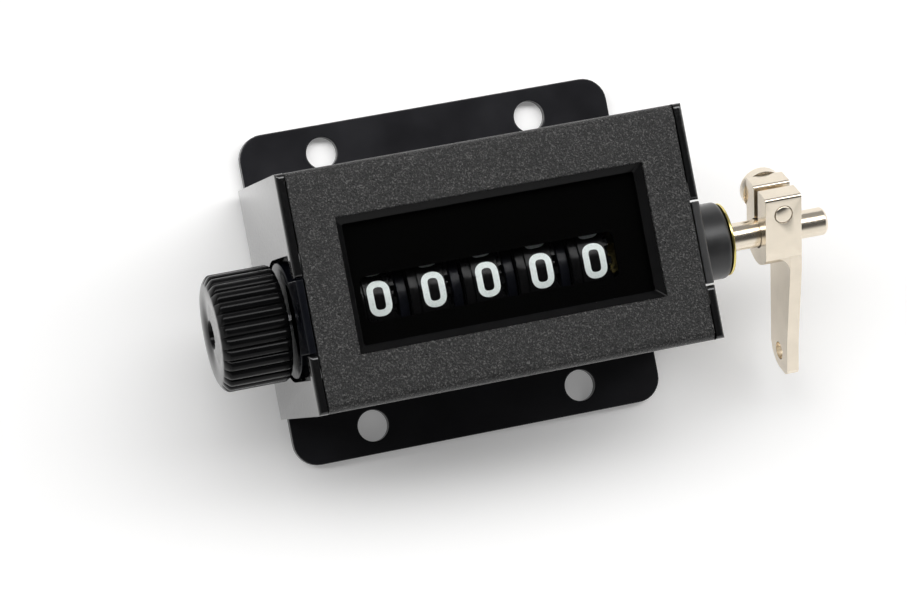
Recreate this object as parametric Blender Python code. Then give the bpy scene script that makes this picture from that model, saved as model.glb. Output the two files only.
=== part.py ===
"""Five-digit stroke counter with a reset knob and a clamp lever.

Lengths are in millimetres and angles in degrees; a mesh is turned into metres when its piece is made.
The origin is the middle of the base plate's underside. +X runs along the wheel shaft towards the lever,
+Y across the face, square to the shaft, and +Z out of the window. The wheels turn about an axis parallel
to X; the highest digit is wheel 1, at the knob's end, and the units are wheel 5, beside the lever.
"""

import math

import bmesh
import bpy

MM = 0.001

# Clearances
SEAT_GAP = 0.15          # between two pieces that are pressed or stacked together
RUN_GAP = 0.15           # radial play of a turning or sliding fit
CARRIER_GAP_LEFT = 0.35  # from a wheel's gear to the carrier on its right
CARRIER_GAP_RIGHT = 0.2  # from that carrier to the next wheel
WHEEL_FRONT_GAP = 0.45   # from the figure band to the mask
TIP_GAP = 0.3            # from a pawl's tip to the ratchet's tip circle
DISC_GAP = 0.4           # round a bearing plate's disc in its wall slot
WALL_GAP = 0.35          # from a bearing plate to the wall
PLATE_GAP = 0.3          # from a bearing plate to the floor and the cover
PIECE_OVERLAP = 0.4      # by which two shapes of one moulding run into each other
CUT_OVERRUN = 1.0        # by which a cutter stands out of what it cuts

# Number wheels
WHEEL_COUNT = 5
FIGURE_RADIUS = 8.7
RIM_RADIUS = 8.55
RIM_WIDTH = 1.2
GROOVE_WIDTH = 0.12
GROOVE_DEPTH = 0.6
BAND_WIDTH = 3.73
FIGURE_OFFSET = 1.98     # from the figure band's left edge to the middle of its figures
WHEEL_WEB = 2.2          # thickness of the wheel's web, at the gear's side
RIM_THICKNESS = 1.2
HUB_RADIUS = 3.2
HUB_STEP = 0.15          # by which the hub stands out of the gear
GEAR_WIDTH = 0.7
GEAR_TEETH = 20
GEAR_PITCH_INSET = 0.85  # from the figure radius to the gear's pitch circle
GEAR_ADDENDUM = 0.45
GEAR_DEDENDUM = 0.85
GEAR_RING = 1.0          # ring below the tooth roots
WHEEL_SEGMENTS = 20

# Transfer pinions
PINION_TEETH = 8
PINION_ADDENDUM = 0.6
PINION_DEDENDUM = 0.75
TOOTH_PLAY = 0.24        # taken off the thickness of each tooth at the pitch circle
PRESSURE_ANGLE = 20.0
PINION_COLLAR_RADIUS = 1.9
PINION_SHAFT_RADIUS = 1.0
PINION_COLLAR_END = 0.9  # beyond the carrier

# Pinion carriers, which also part the wheels
CARRIER_THICKNESS = 1.35
CARRIER_RADIUS = 7.5
CARRIER_EYE = 3.4        # radius round the pinion
ROD_RADIUS = 1.0
ROD_BOSS = 2.2
ROD_LIFT = 0.6           # from the floor to the carriers
ROD_CLEARANCE = 1.0      # from the carrier rod to the first stop pin

# Bays between the end wheels and the bearing plates
LEFT_BAY = 5.45
DRIVE_BAY = 9.45
SPACER_RADIUS = 3.0

# Bearing plates
PLATE_THICKNESS = 1.5
PLATE_CORNER = 2.0
DISC_RADIUS = 8.1
DISC_EDGE = 0.8
LUG_WIDTH_LEFT = 10.0
LUG_WIDTH_RIGHT = 11.4
LUG_EDGE = 0.5
LUG_START = 4.5          # from the wheel shaft to the lug's inner end
PLATE_BORE = 4.0         # opening in the plate that the disc closes
BOSS_RADIUS = 5.45
BOSS_LENGTH = 5.8
BOSS_CHAMFER = 0.3

# Sheet housing
WALL_THICKNESS = 1.2
COVER_THICKNESS = 0.5
HOUSING_WIDTH = 32.8
HOUSING_HEIGHT = 30.8    # above the base plate
COVER_BEND = 1.3
WALL_NOSE = 1.1          # rounding of a wall's front edge
FLOOR_BEND = 1.5
LIP_DEPTH = 1.5          # depth of the tongues that narrow a wall's slot at the front
LIP_GAP = 0.25           # from a bearing lug to the tongues beside it
WALL_CORNER = 0.8        # rounding of a wall's two outer corners at the front
AXIS_OFFSET = 3.0        # from the housing's middle to the wheel shaft, towards -Y

# Base plate
BASE_THICKNESS = 1.5
BASE_SHORTER = 1.4       # by which each end of the housing stands over the base plate
BASE_FLANGE = 7.4        # by which each side of the base plate stands out of the housing
BASE_CORNER = 3.5
SCREW_HOLE_RADIUS = 2.25
SCREW_INSET_X = 11.85
SCREW_INSET_Y = 4.05
RIVET_RADIUS = 1.4
RIVET_HEAD_RADIUS = 2.4
RIVET_HEAD_HEIGHT = 0.9
RIVET_INSET_X = 7.4
RIVET_INSET_Y = 6.4

# Window
WINDOW_MARGIN = 2.2      # beyond the farther end of the slot, at both ends
WINDOW_WIDTH = 18.6
BEZEL_DEPTH = 1.5
BEZEL_STEP = 1.05        # by which the bezel's opening is smaller all round
BEZEL_SLOPE = 1.05       # depth of its sloping band
BEZEL_FLANGE = 1.8
LENS_THICKNESS = 0.5
MASK_THICKNESS = 0.5
SLOT_LEFT = 2.55         # beyond the middle of the first figure
SLOT_RIGHT = 2.85        # beyond the middle of the units figure
SLOT_ABOVE = 3.56        # above the wheel shaft
SLOT_BELOW = 2.38        # below the wheel shaft
SLOT_CORNER = 0.8

# Reset shaft and knob
RESET_SHAFT_RADIUS = 1.5
JOURNAL_RADIUS = 1.0
JOURNAL_LENGTH = 3.0
KNOB_RADIUS = 8.1
KNOB_LENGTH = 9.55
KNOB_GAP = 0.85          # from the left disc to the knob
KNOB_RIBS = 28
KNOB_RIB_DEPTH = 0.5
KNOB_CHAMFER = 0.9
KNOB_REAR_CHAMFER = 0.55
KNOB_HOLE_RADIUS = 1.95
KNOB_HOLE_DEPTH = 5.6

# Ratchet and pawls
RATCHET_TEETH = 10
RATCHET_RADIUS = 6.5
RATCHET_TOOTH = 1.3
RATCHET_THICKNESS = 1.4
PAWL_PIN_RADIUS = 0.9
PAWL_PIN_CLEARANCE = 0.6  # from the figure band to a pawl's pin
PAWL_EYE = 1.7
PAWL_TIP = 0.35
PAWL_SWEEP = 28.0        # from a pawl's pin to its tip, about the wheel shaft
DRIVE_PAWL_ANGLE = 200.0  # of the drive pawl's pin about the wheel shaft, from +Z towards +Y
HOLDING_PAWL_ANGLE = 125.0
ARM_HUB_RADIUS = 4.0
ARM_THICKNESS = 1.6
ARM_EYE = 1.8
ARM_SPACING = 2.6        # from the ratchet to the pawl arm
STROKE = 45.0
STOP_RADIUS = 1.0
STOP_CLEARANCE = 0.35    # from a stop pin's hole to the right disc
STOP_PLAY = 0.6          # from the arm to a stop pin at each end of the stroke
SPRING_WIRE = 0.25
SPRING_TURNS = 3.5
SPRING_CLEARANCE = 0.75  # from the drive shaft to the spring's coils

# Drive shaft, bush and lever
DRIVE_SHAFT_RADIUS = 2.0
DRIVE_SHAFT_CHAMFER = 0.4
SHAFT_LEAD = 1.2         # from the ratchet to the drive shaft's inner end
PIN_CHAMFER = 0.2
PIN_LEAD = 0.3           # by which a pawl's pin stands out of the pawl
BUSH_WALL = 0.85
BUSH_FLANGE_RADIUS = 5.15
BUSH_FLANGE = 0.5
BUSH_SEAT = 0.05         # from the boss to the bush's flange
LEVER_OFFSET = 4.87      # from the bush to the lever
LEVER_TILT = 29.7        # of the arm, from -Y towards the base
BLOCK_LENGTH = 5.38
BLOCK_HALF_WIDTH = 3.79
BLOCK_TOP = 6.93
BLOCK_NOSE = 4.6
BLOCK_CORNER = 0.5
ARM_PLATE = 1.75
ARM_LENGTH = 22.9
ARM_REAR = 4.1
ARM_FRONT_NEAR = 3.78
ARM_FRONT_FAR = 2.37
ARM_TAPER_START = 5.0
ARM_TAPER_INSET = 5.5    # from the arm's end to the end of its taper
ARM_REAR_CORNER = 3.6
ARM_FRONT_CORNER = 1.1
ARM_FILLET = 2.5
ARM_HOLE_RADIUS = 1.3
ARM_HOLE_INSET = 2.7     # from the arm's end
ARM_HOLE_OFFSET = 0.85   # from the arm's middle towards its rear
CLAMP_SLOT = 1.42
CLAMP_SCREW_AT = 4.22    # from the drive shaft's axis towards the block's top
CLAMP_SCREW_RADIUS = 1.25
CLAMP_HEAD_RADIUS = 3.1
CLAMP_HEAD_HEIGHT = 1.9
CLAMP_HEAD_EDGE = 0.6    # rounding of the head's edge
SHAFT_END = 4.85         # of the drive shaft beyond the lever

# Places along the shaft
WHEEL_LEFT = FIGURE_OFFSET + GROOVE_WIDTH + RIM_WIDTH
BAND_RIGHT = BAND_WIDTH - FIGURE_OFFSET
GEAR_RIGHT = BAND_RIGHT + GEAR_WIDTH
WHEEL_RIGHT = GEAR_RIGHT + HUB_STEP
DIGIT_PITCH = WHEEL_LEFT + GEAR_RIGHT + CARRIER_GAP_LEFT + CARRIER_THICKNESS + CARRIER_GAP_RIGHT
INNER_LENGTH = LEFT_BAY + WHEEL_LEFT + (WHEEL_COUNT - 1) * DIGIT_PITCH + WHEEL_RIGHT + DRIVE_BAY
PLATE_INNER = INNER_LENGTH / 2
PLATE_OUTER = PLATE_INNER + PLATE_THICKNESS
WALL_INNER = PLATE_OUTER + WALL_GAP
WALL_OUTER = WALL_INNER + WALL_THICKNESS
FIRST_DIGIT = -PLATE_INNER + LEFT_BAY + WHEEL_LEFT
UNITS_DIGIT = FIRST_DIGIT + (WHEEL_COUNT - 1) * DIGIT_PITCH
RATCHET_LEFT = UNITS_DIGIT + WHEEL_RIGHT + SEAT_GAP
RATCHET_RIGHT = RATCHET_LEFT + RATCHET_THICKNESS
ARM_LEFT = RATCHET_RIGHT + ARM_SPACING
ARM_RIGHT = ARM_LEFT + ARM_THICKNESS
DRIVE_SHAFT_LEFT = RATCHET_RIGHT + SHAFT_LEAD
BOSS_RIGHT = WALL_OUTER + BOSS_LENGTH
BUSH_RIGHT = BOSS_RIGHT + BUSH_SEAT + BUSH_FLANGE
BLOCK_LEFT = BUSH_RIGHT + LEVER_OFFSET
BLOCK_RIGHT = BLOCK_LEFT + BLOCK_LENGTH
ARM_PLATE_LEFT = BLOCK_RIGHT - ARM_PLATE
DRIVE_SHAFT_RIGHT = BLOCK_RIGHT + SHAFT_END
LEFT_DISC = -WALL_OUTER + SEAT_GAP
KNOB_REAR = LEFT_DISC - KNOB_GAP
KNOB_END = KNOB_REAR - KNOB_LENGTH
KNOB_SEAT = KNOB_END + KNOB_HOLE_DEPTH

# Heights above the base plate's underside
HOUSING_TOP = BASE_THICKNESS + HOUSING_HEIGHT
FLOOR_BOTTOM = BASE_THICKNESS + SEAT_GAP
FLOOR_TOP = FLOOR_BOTTOM + WALL_THICKNESS
COVER_BACK = HOUSING_TOP - COVER_THICKNESS
BEZEL_FRONT = COVER_BACK - SEAT_GAP
BEZEL_BACK = BEZEL_FRONT - BEZEL_DEPTH
LENS_FRONT = BEZEL_BACK - SEAT_GAP
LENS_BACK = LENS_FRONT - LENS_THICKNESS
MASK_FRONT = LENS_BACK - SEAT_GAP
MASK_BACK = MASK_FRONT - MASK_THICKNESS
AXIS_Z = MASK_BACK - WHEEL_FRONT_GAP - FIGURE_RADIUS
ROD_Z = FLOOR_TOP + ROD_BOSS + ROD_LIFT

# Across the housing
AXIS_Y = -AXIS_OFFSET
COVER_OUTER = HOUSING_WIDTH / 2
WALL_HALF_WIDTH = COVER_OUTER - COVER_THICKNESS - SEAT_GAP
PLATE_HALF_WIDTH = WALL_HALF_WIDTH - PLATE_GAP
BASE_HALF_LENGTH = WALL_OUTER - BASE_SHORTER
BASE_HALF_WIDTH = COVER_OUTER + BASE_FLANGE
TIE_ROD_INSET = PLATE_CORNER + ROD_RADIUS

# Gears
GEAR_PITCH_RADIUS = FIGURE_RADIUS - GEAR_PITCH_INSET
PINION_PITCH_RADIUS = GEAR_PITCH_RADIUS * PINION_TEETH / GEAR_TEETH
PINION_Y = AXIS_Y + GEAR_PITCH_RADIUS + PINION_PITCH_RADIUS
PAWL_PIN_DISTANCE = FIGURE_RADIUS + PAWL_PIN_CLEARANCE + PAWL_PIN_RADIUS
STOP_DISTANCE = DISC_RADIUS + STOP_RADIUS + RUN_GAP + STOP_CLEARANCE

# Finishes: colour, roughness, metallic
TEXTURED_BLACK = ((0.035, 0.036, 0.038), 0.55, 0.0)
GLOSS_BLACK = ((0.012, 0.012, 0.013), 0.18, 0.0)
SATIN_BLACK = ((0.015, 0.015, 0.016), 0.38, 0.0)
BLUE_BLACK = ((0.03, 0.033, 0.04), 0.4, 0.0)
MASK_BLACK = ((0.002, 0.002, 0.002), 0.9, 0.0)
CLEAR = ((0.9, 0.92, 0.92), 0.05, 0.0)
NICKEL = ((0.78, 0.74, 0.68), 0.24, 1.0)
STEEL = ((0.55, 0.55, 0.56), 0.3, 1.0)
BRASS = ((0.8, 0.62, 0.2), 0.25, 1.0)


# ---------------------------------------------------------------- outlines

def arc(centre, radius, start, end, steps):
    """Points of an arc about centre, from start to end degrees."""
    turns = [math.radians(start + (end - start) * step / steps) for step in range(steps + 1)]
    return [(centre[0] + radius * math.cos(turn), centre[1] + radius * math.sin(turn)) for turn in turns]


def circle(radius, segments, centre=(0.0, 0.0)):
    """Points of a full circle."""
    return arc(centre, radius, 0.0, 360.0, segments)[:-1]


def rounded_box(low, high, radius, steps=3):
    """Outline of a rectangle from corner low to corner high, with its corners rounded."""
    corners = (
        (high[0] - radius, high[1] - radius, 0.0),
        (low[0] + radius, high[1] - radius, 90.0),
        (low[0] + radius, low[1] + radius, 180.0),
        (high[0] - radius, low[1] + radius, 270.0),
    )
    points = []
    for p, q, start in corners:
        points += arc((p, q), radius, start, start + 90.0, steps)
    return points


def belt(circles, samples):
    """Outline of a band stretched round circles, each (p, q, radius)."""
    points = []
    for step in range(samples):
        turn = math.tau * step / samples
        direction = (math.cos(turn), math.sin(turn))
        p, q, radius = max(circles, key=lambda c: c[0] * direction[0] + c[1] * direction[1] + c[2])
        points.append((p + radius * direction[0], q + radius * direction[1]))
    return points


def involute(angle):
    """Involute function of an angle in radians."""
    return math.tan(angle) - angle


def gear_outline(teeth, pitch_radius, tip_radius, root_radius, first_tooth, flank_points):
    """Toothed outline with involute flanks; first_tooth is the direction of one tooth in degrees."""
    pressure = math.radians(PRESSURE_ANGLE)
    base_radius = pitch_radius * math.cos(pressure)
    half_tooth = math.pi / (2 * teeth) - TOOTH_PLAY / (2 * pitch_radius)
    points = []
    for tooth in range(teeth):
        middle = math.radians(first_tooth) + math.tau * tooth / teeth
        flank = []
        for point in range(flank_points):
            radius = root_radius + (tip_radius - root_radius) * point / (flank_points - 1)
            slope = math.acos(min(1.0, base_radius / radius))
            flank.append((radius, half_tooth + involute(pressure) - involute(slope)))
        for radius, half in flank:
            points.append((radius * math.cos(middle - half), radius * math.sin(middle - half)))
        for radius, half in reversed(flank):
            points.append((radius * math.cos(middle + half), radius * math.sin(middle + half)))
    return points


def polar(distance, angle):
    """(y, z) from the wheel shaft; the angle runs from +Z towards +Y."""
    turn = math.radians(angle)
    return (distance * math.sin(turn), distance * math.cos(turn))


# ---------------------------------------------------------------- solids

def lay(points, level, axis):
    """Points of a flat outline as 3-D points, at a level along an axis."""
    if axis == "X":
        return [(level, p, q) for p, q in points]
    if axis == "Y":
        return [(p, level, q) for p, q in points]
    return [(p, q, level) for p, q in points]


def loft(tubes):
    """Closed solid of an outer tube and, after it, any number of tubes that pierce it.

    A tube is a list of sections, and its sections have the same number of points. The first sections
    of all tubes lie in one plane, and the last ones in another.
    """
    solid = bmesh.new()
    first_edges = []
    last_edges = []
    for sections in tubes:
        rings = [[solid.verts.new(point) for point in section] for section in sections]
        count = len(rings[0])
        for ring, following in zip(rings, rings[1:]):
            for index in range(count):
                after = (index + 1) % count
                solid.faces.new((ring[index], ring[after], following[after], following[index]))
        first_edges += [solid.edges.get((rings[0][i], rings[0][(i + 1) % count])) for i in range(count)]
        last_edges += [solid.edges.get((rings[-1][i], rings[-1][(i + 1) % count])) for i in range(count)]
    for edges in (first_edges, last_edges):
        bmesh.ops.triangle_fill(solid, edges=edges, use_beauty=True, use_dissolve=False)
    return solid


def prism(outline, start, end, axis="X", holes=()):
    """Outline extruded along an axis, with straight holes."""
    return loft([[lay(points, level, axis) for level in (start, end)] for points in (outline, *holes)])


def turned(profile, segments, axis="X"):
    """Profile of (place along the axis, radius) turned about the axis.

    A profile that starts and ends on the axis closes there; any other is closed into a ring.
    """
    solid = bmesh.new()
    rings = []
    for place, radius in profile:
        if radius == 0.0:
            rings.append([solid.verts.new(lay([(0.0, 0.0)], place, axis)[0])] * segments)
        else:
            points = lay(circle(radius, segments), place, axis)
            rings.append([solid.verts.new(point) for point in points])
    pairs = list(zip(rings, rings[1:]))
    if profile[0][1] > 0.0:
        pairs.append((rings[-1], rings[0]))
    for ring, following in pairs:
        for index in range(segments):
            after = (index + 1) % segments
            corners = (ring[index], ring[after], following[after], following[index])
            solid.faces.new(tuple(dict.fromkeys(corners)))
    return solid


def pin_profile(start, end, radius, chamfer):
    """Profile of a plain pin with chamfered ends."""
    return [
        (start, 0.0),
        (start, radius - chamfer),
        (start + chamfer, radius),
        (end - chamfer, radius),
        (end, radius - chamfer),
        (end, 0.0),
    ]


def ring_profile(start, end, bore, radius):
    """Profile of a plain ring."""
    return [(start, bore), (start, radius), (end, radius), (end, bore)]


def moved(solid, offset):
    """The solid moved by an offset."""
    bmesh.ops.translate(solid, verts=solid.verts, vec=offset)
    return solid


def joined(solids):
    """Separate solids gathered in one mesh, for use as one cutter."""
    whole = bmesh.new()
    for solid in solids:
        scratch = bpy.data.meshes.new("scratch")
        solid.to_mesh(scratch)
        solid.free()
        whole.from_mesh(scratch)
        bpy.data.meshes.remove(scratch)
    return whole


# ---------------------------------------------------------------- objects

def make_object(name, solid, place=(0.0, 0.0, 0.0), tilt=0.0):
    """Object of a solid, in metres, at a place and turned about X by tilt degrees."""
    bmesh.ops.recalc_face_normals(solid, faces=solid.faces)
    bmesh.ops.scale(solid, vec=(MM, MM, MM), verts=solid.verts)
    mesh = bpy.data.meshes.new(name)
    solid.to_mesh(mesh)
    solid.free()
    made = bpy.data.objects.new(name, mesh)
    made.location = [value * MM for value in place]
    made.rotation_euler = (math.radians(tilt), 0.0, 0.0)
    bpy.context.scene.collection.objects.link(made)
    return made


def make_piece(name, finish, solid, place=(0.0, 0.0, 0.0), tilt=0.0):
    """Finished piece with a material of its own."""
    made = make_object(name, solid, place, tilt)
    colour, roughness, metallic = finish
    material = bpy.data.materials.new(name)
    material.use_nodes = True
    shader = material.node_tree.nodes["Principled BSDF"]
    shader.inputs["Base Color"].default_value = (*colour, 1.0)
    shader.inputs["Roughness"].default_value = roughness
    shader.inputs["Metallic"].default_value = metallic
    made.data.materials.append(material)
    made.data.shade_smooth()
    made.data.set_sharp_from_angle(angle=math.radians(30.0))
    return made


def combine(piece, operation, name, solid, place=(0.0, 0.0, 0.0), tilt=0.0):
    """Adds a solid to a piece (UNION) or cuts it away (DIFFERENCE)."""
    tool = make_object(name, solid, place, tilt)
    tool.hide_render = True
    tool.display_type = "WIRE"
    modifier = piece.modifiers.new(name, "BOOLEAN")
    modifier.operation = operation
    modifier.solver = "EXACT"
    modifier.object = tool


# ---------------------------------------------------------------- base plate and housing

def rivet_places():
    """The four rivets that hold the housing's floor on the base plate."""
    reach_x = BASE_HALF_LENGTH - RIVET_INSET_X
    reach_y = WALL_HALF_WIDTH - RIVET_INSET_Y
    return [(x, y) for x in (-reach_x, reach_x) for y in (-reach_y, reach_y)]


def base_plate():
    """Plate with four screw holes and four countersunk rivet holes."""
    low = (-BASE_HALF_LENGTH, -BASE_HALF_WIDTH)
    high = (BASE_HALF_LENGTH, BASE_HALF_WIDTH)
    tubes = [[lay(rounded_box(low, high, BASE_CORNER, 5), level, "Z") for level in (0.0, BASE_THICKNESS)]]
    for x in (-BASE_HALF_LENGTH + SCREW_INSET_X, BASE_HALF_LENGTH - SCREW_INSET_X):
        for y in (-BASE_HALF_WIDTH + SCREW_INSET_Y, BASE_HALF_WIDTH - SCREW_INSET_Y):
            hole = circle(SCREW_HOLE_RADIUS, 20, (x, y))
            tubes.append([lay(hole, level, "Z") for level in (0.0, BASE_THICKNESS)])
    for place in rivet_places():
        wide = circle(RIVET_HEAD_RADIUS + RUN_GAP, 12, place)
        narrow = circle(RIVET_RADIUS + RUN_GAP, 12, place)
        tubes.append([
            lay(wide, 0.0, "Z"),
            lay(narrow, RIVET_HEAD_HEIGHT, "Z"),
            lay(narrow, BASE_THICKNESS, "Z"),
        ])
    make_piece("base_plate", SATIN_BLACK, loft(tubes))


def base_rivets():
    """Rivets with a countersunk head below and an upset head on the housing's floor."""
    top = FLOOR_TOP + SEAT_GAP
    profile = [
        (SEAT_GAP, 0.0),
        (SEAT_GAP, RIVET_HEAD_RADIUS - SEAT_GAP),
        (RIVET_HEAD_HEIGHT, RIVET_RADIUS),
        (top, RIVET_RADIUS),
        (top, RIVET_HEAD_RADIUS),
        (top + RIVET_HEAD_HEIGHT * 0.6, RIVET_HEAD_RADIUS * 0.8),
        (top + RIVET_HEAD_HEIGHT * 0.8, 0.0),
    ]
    for number, (x, y) in enumerate(rivet_places(), start=1):
        make_piece(f"base_rivet_{number}", SATIN_BLACK, moved(turned(profile, 9, "Z"), (x, y, 0.0)))


def wall_slot(side, lip_half_width):
    """Cutter of a wall's slot: round behind, straight-sided, and narrowed by the tongues in front."""
    half = DISC_RADIUS + DISC_GAP
    lip = HOUSING_TOP - LIP_DEPTH
    front = HOUSING_TOP + CUT_OVERRUN
    outline = [(AXIS_Y + lip_half_width, front), (AXIS_Y + lip_half_width, lip), (AXIS_Y + half, lip)]
    outline += arc((AXIS_Y, AXIS_Z), half, 0.0, -180.0, 16)
    outline += [(AXIS_Y - half, lip), (AXIS_Y - lip_half_width, lip), (AXIS_Y - lip_half_width, front)]
    ends = sorted((side * (WALL_INNER - WALL_GAP / 2), side * (WALL_OUTER + CUT_OVERRUN)))
    return prism(outline, ends[0], ends[1])


def floor_edge(side):
    """Cutter that narrows the floor between the walls, to make room for a side of the cover."""
    near, far = sorted((side * WALL_HALF_WIDTH, side * (COVER_OUTER + CUT_OVERRUN)))
    below = FLOOR_BOTTOM - CUT_OVERRUN
    above = FLOOR_TOP + CUT_OVERRUN
    outline = [(near, below), (far, below), (far, above), (near, above)]
    return prism(outline, -WALL_INNER, WALL_INNER)


def wall_corner(side):
    """Cutter that rounds the walls' outer corners at the front."""
    radius = WALL_CORNER
    past = COVER_OUTER + CUT_OVERRUN
    above = HOUSING_TOP + CUT_OVERRUN
    outline = [(past, HOUSING_TOP - radius), (past, above), (COVER_OUTER - radius, above)]
    outline += arc((COVER_OUTER - radius, HOUSING_TOP - radius), radius, 90.0, 0.0, 2)
    if side < 0.0:
        outline = [(-y, z) for y, z in reversed(outline)]
    return prism(outline, -WALL_OUTER - CUT_OVERRUN, WALL_OUTER + CUT_OVERRUN)


def shell_frame():
    """Folded frame: floor and two end walls with rounded noses and slots for the bearing discs."""
    nose = WALL_NOSE
    half_inner = WALL_INNER
    bend = FLOOR_BEND
    outline = [(-half_inner, HOUSING_TOP)]
    outline += arc((-WALL_OUTER + nose, HOUSING_TOP - nose), nose, 90.0, 180.0, 4)
    outline += arc((-WALL_OUTER + bend, FLOOR_BOTTOM + bend), bend, 180.0, 270.0, 4)
    outline += arc((WALL_OUTER - bend, FLOOR_BOTTOM + bend), bend, 270.0, 360.0, 4)
    outline += arc((WALL_OUTER - nose, HOUSING_TOP - nose), nose, 0.0, 90.0, 4)
    outline += [(half_inner, HOUSING_TOP), (half_inner, FLOOR_TOP), (-half_inner, FLOOR_TOP)]
    frame = make_piece("shell_frame", GLOSS_BLACK, prism(outline, -COVER_OUTER, COVER_OUTER, "Y"))
    cutters = [
        wall_slot(-1.0, LUG_WIDTH_LEFT / 2 + LIP_GAP),
        wall_slot(1.0, LUG_WIDTH_RIGHT / 2 + LIP_GAP),
    ]
    for side in (-1.0, 1.0):
        cutters += [floor_edge(side), wall_corner(side)]
    for place in rivet_places():
        hole = circle(RIVET_RADIUS + RUN_GAP, 12, place)
        cutters.append(prism(hole, FLOOR_BOTTOM - CUT_OVERRUN, FLOOR_TOP + CUT_OVERRUN, "Z"))
    combine(frame, "DIFFERENCE", "cut_shell_frame", joined(cutters))


def window_reach():
    """Half the length of the window, which takes in the slot's farther end."""
    return max(SLOT_LEFT - FIRST_DIGIT, UNITS_DIGIT + SLOT_RIGHT) + WINDOW_MARGIN


def cover():
    """Bent cover between the walls, over the top, the face and the underside, with the window."""
    outer = COVER_OUTER
    inner = COVER_OUTER - COVER_THICKNESS
    bend = COVER_BEND
    inner_bend = COVER_BEND - COVER_THICKNESS
    centre_q = HOUSING_TOP - bend
    outline = [(-inner, FLOOR_BOTTOM), (-outer, FLOOR_BOTTOM)]
    outline += arc((-outer + bend, centre_q), bend, 180.0, 90.0, 4)
    outline += arc((outer - bend, centre_q), bend, 90.0, 0.0, 4)
    outline += [(outer, FLOOR_BOTTOM), (inner, FLOOR_BOTTOM)]
    inner_q = COVER_BACK - inner_bend
    outline += arc((inner - inner_bend, inner_q), inner_bend, 0.0, 90.0, 3)
    outline += arc((-inner + inner_bend, inner_q), inner_bend, 90.0, 180.0, 3)
    end = WALL_INNER - SEAT_GAP
    sheet = make_piece("cover", TEXTURED_BLACK, prism(outline, -end, end))
    reach = window_reach()
    half_width = WINDOW_WIDTH / 2
    window = rounded_box((-reach, -half_width), (reach, half_width), 0.3, 2)
    front = HOUSING_TOP + CUT_OVERRUN
    behind = COVER_BACK - CUT_OVERRUN
    combine(sheet, "DIFFERENCE", "cut_cover", prism(window, behind, front, "Z"))


def window_stack():
    """Bezel with a sloping band, clear lens and mask with the reading slot."""
    reach = window_reach()
    half_width = WINDOW_WIDTH / 2

    def frame_section(grow, level, radius):
        low = (-reach - grow, -half_width - grow)
        high = (reach + grow, half_width + grow)
        return lay(rounded_box(low, high, radius, 2), level, "Z")

    step = BEZEL_FRONT - BEZEL_SLOPE
    bezel = loft([
        [frame_section(BEZEL_FLANGE, BEZEL_BACK, 1.0), frame_section(BEZEL_FLANGE, BEZEL_FRONT, 1.0)],
        [
            frame_section(-BEZEL_STEP, BEZEL_BACK, 0.3),
            frame_section(-BEZEL_STEP, step, 0.3),
            frame_section(SEAT_GAP, BEZEL_FRONT, 0.4),
        ],
    ])
    make_piece("window_bezel", SATIN_BLACK, bezel)
    low = (-reach - BEZEL_FLANGE, -half_width - BEZEL_FLANGE)
    high = (reach + BEZEL_FLANGE, half_width + BEZEL_FLANGE)
    plate = rounded_box(low, high, 1.0, 2)
    make_piece("window_lens", CLEAR, prism(plate, LENS_BACK, LENS_FRONT, "Z"))
    slot_low = (FIRST_DIGIT - SLOT_LEFT, AXIS_Y - SLOT_BELOW)
    slot_high = (UNITS_DIGIT + SLOT_RIGHT, AXIS_Y + SLOT_ABOVE)
    slot = rounded_box(slot_low, slot_high, SLOT_CORNER, 3)
    make_piece("digit_mask", MASK_BLACK, prism(plate, MASK_BACK, MASK_FRONT, "Z", [slot]))


# ---------------------------------------------------------------- bearing plates and rods

def carrier_rod_y():
    """Below the wheel shaft, or as far aside as the first stop pin, just above, calls for."""
    rise = AXIS_Z - STOP_DISTANCE - ROD_Z
    apart = ROD_RADIUS + STOP_RADIUS + ROD_CLEARANCE
    return AXIS_Y + math.sqrt(max(0.0, apart ** 2 - rise ** 2))


def rod_places():
    """Rods between the bearing plates, by name, as (y, z, radius)."""
    top_y = PLATE_HALF_WIDTH - TIE_ROD_INSET
    return {
        "carrier_rod": (carrier_rod_y(), ROD_Z, ROD_RADIUS),
        "tie_rod_1": (top_y, ROD_Z, ROD_RADIUS),
        "tie_rod_2": (-top_y, ROD_Z, ROD_RADIUS),
        "pinion_shaft": (PINION_Y, AXIS_Z, PINION_SHAFT_RADIUS),
    }


def drive_pins():
    """Pins that stand on the right bearing plate, by name, as (y, z, radius, left end)."""
    arm_half = math.degrees(math.asin((ARM_EYE + STOP_RADIUS + STOP_PLAY) / STOP_DISTANCE))
    stops = (DRIVE_PAWL_ANGLE - arm_half, DRIVE_PAWL_ANGLE + STROKE + arm_half)
    pins = {}
    for number, angle in enumerate(stops, start=1):
        y, z = polar(STOP_DISTANCE, angle)
        pins[f"stop_pin_{number}"] = (AXIS_Y + y, AXIS_Z + z, STOP_RADIUS, ARM_LEFT)
    y, z = polar(PAWL_PIN_DISTANCE, HOLDING_PAWL_ANGLE)
    pins["holding_pawl_pin"] = (AXIS_Y + y, AXIS_Z + z, PAWL_PIN_RADIUS, RATCHET_LEFT - PIN_LEAD)
    return pins


def bearing_plate_outline():
    """Outline of a bearing plate, which fills the housing's cross-section."""
    low = (-PLATE_HALF_WIDTH, FLOOR_TOP + PLATE_GAP)
    high = (PLATE_HALF_WIDTH, COVER_BACK - PLATE_GAP)
    return rounded_box(low, high, PLATE_CORNER, 3)


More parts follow.
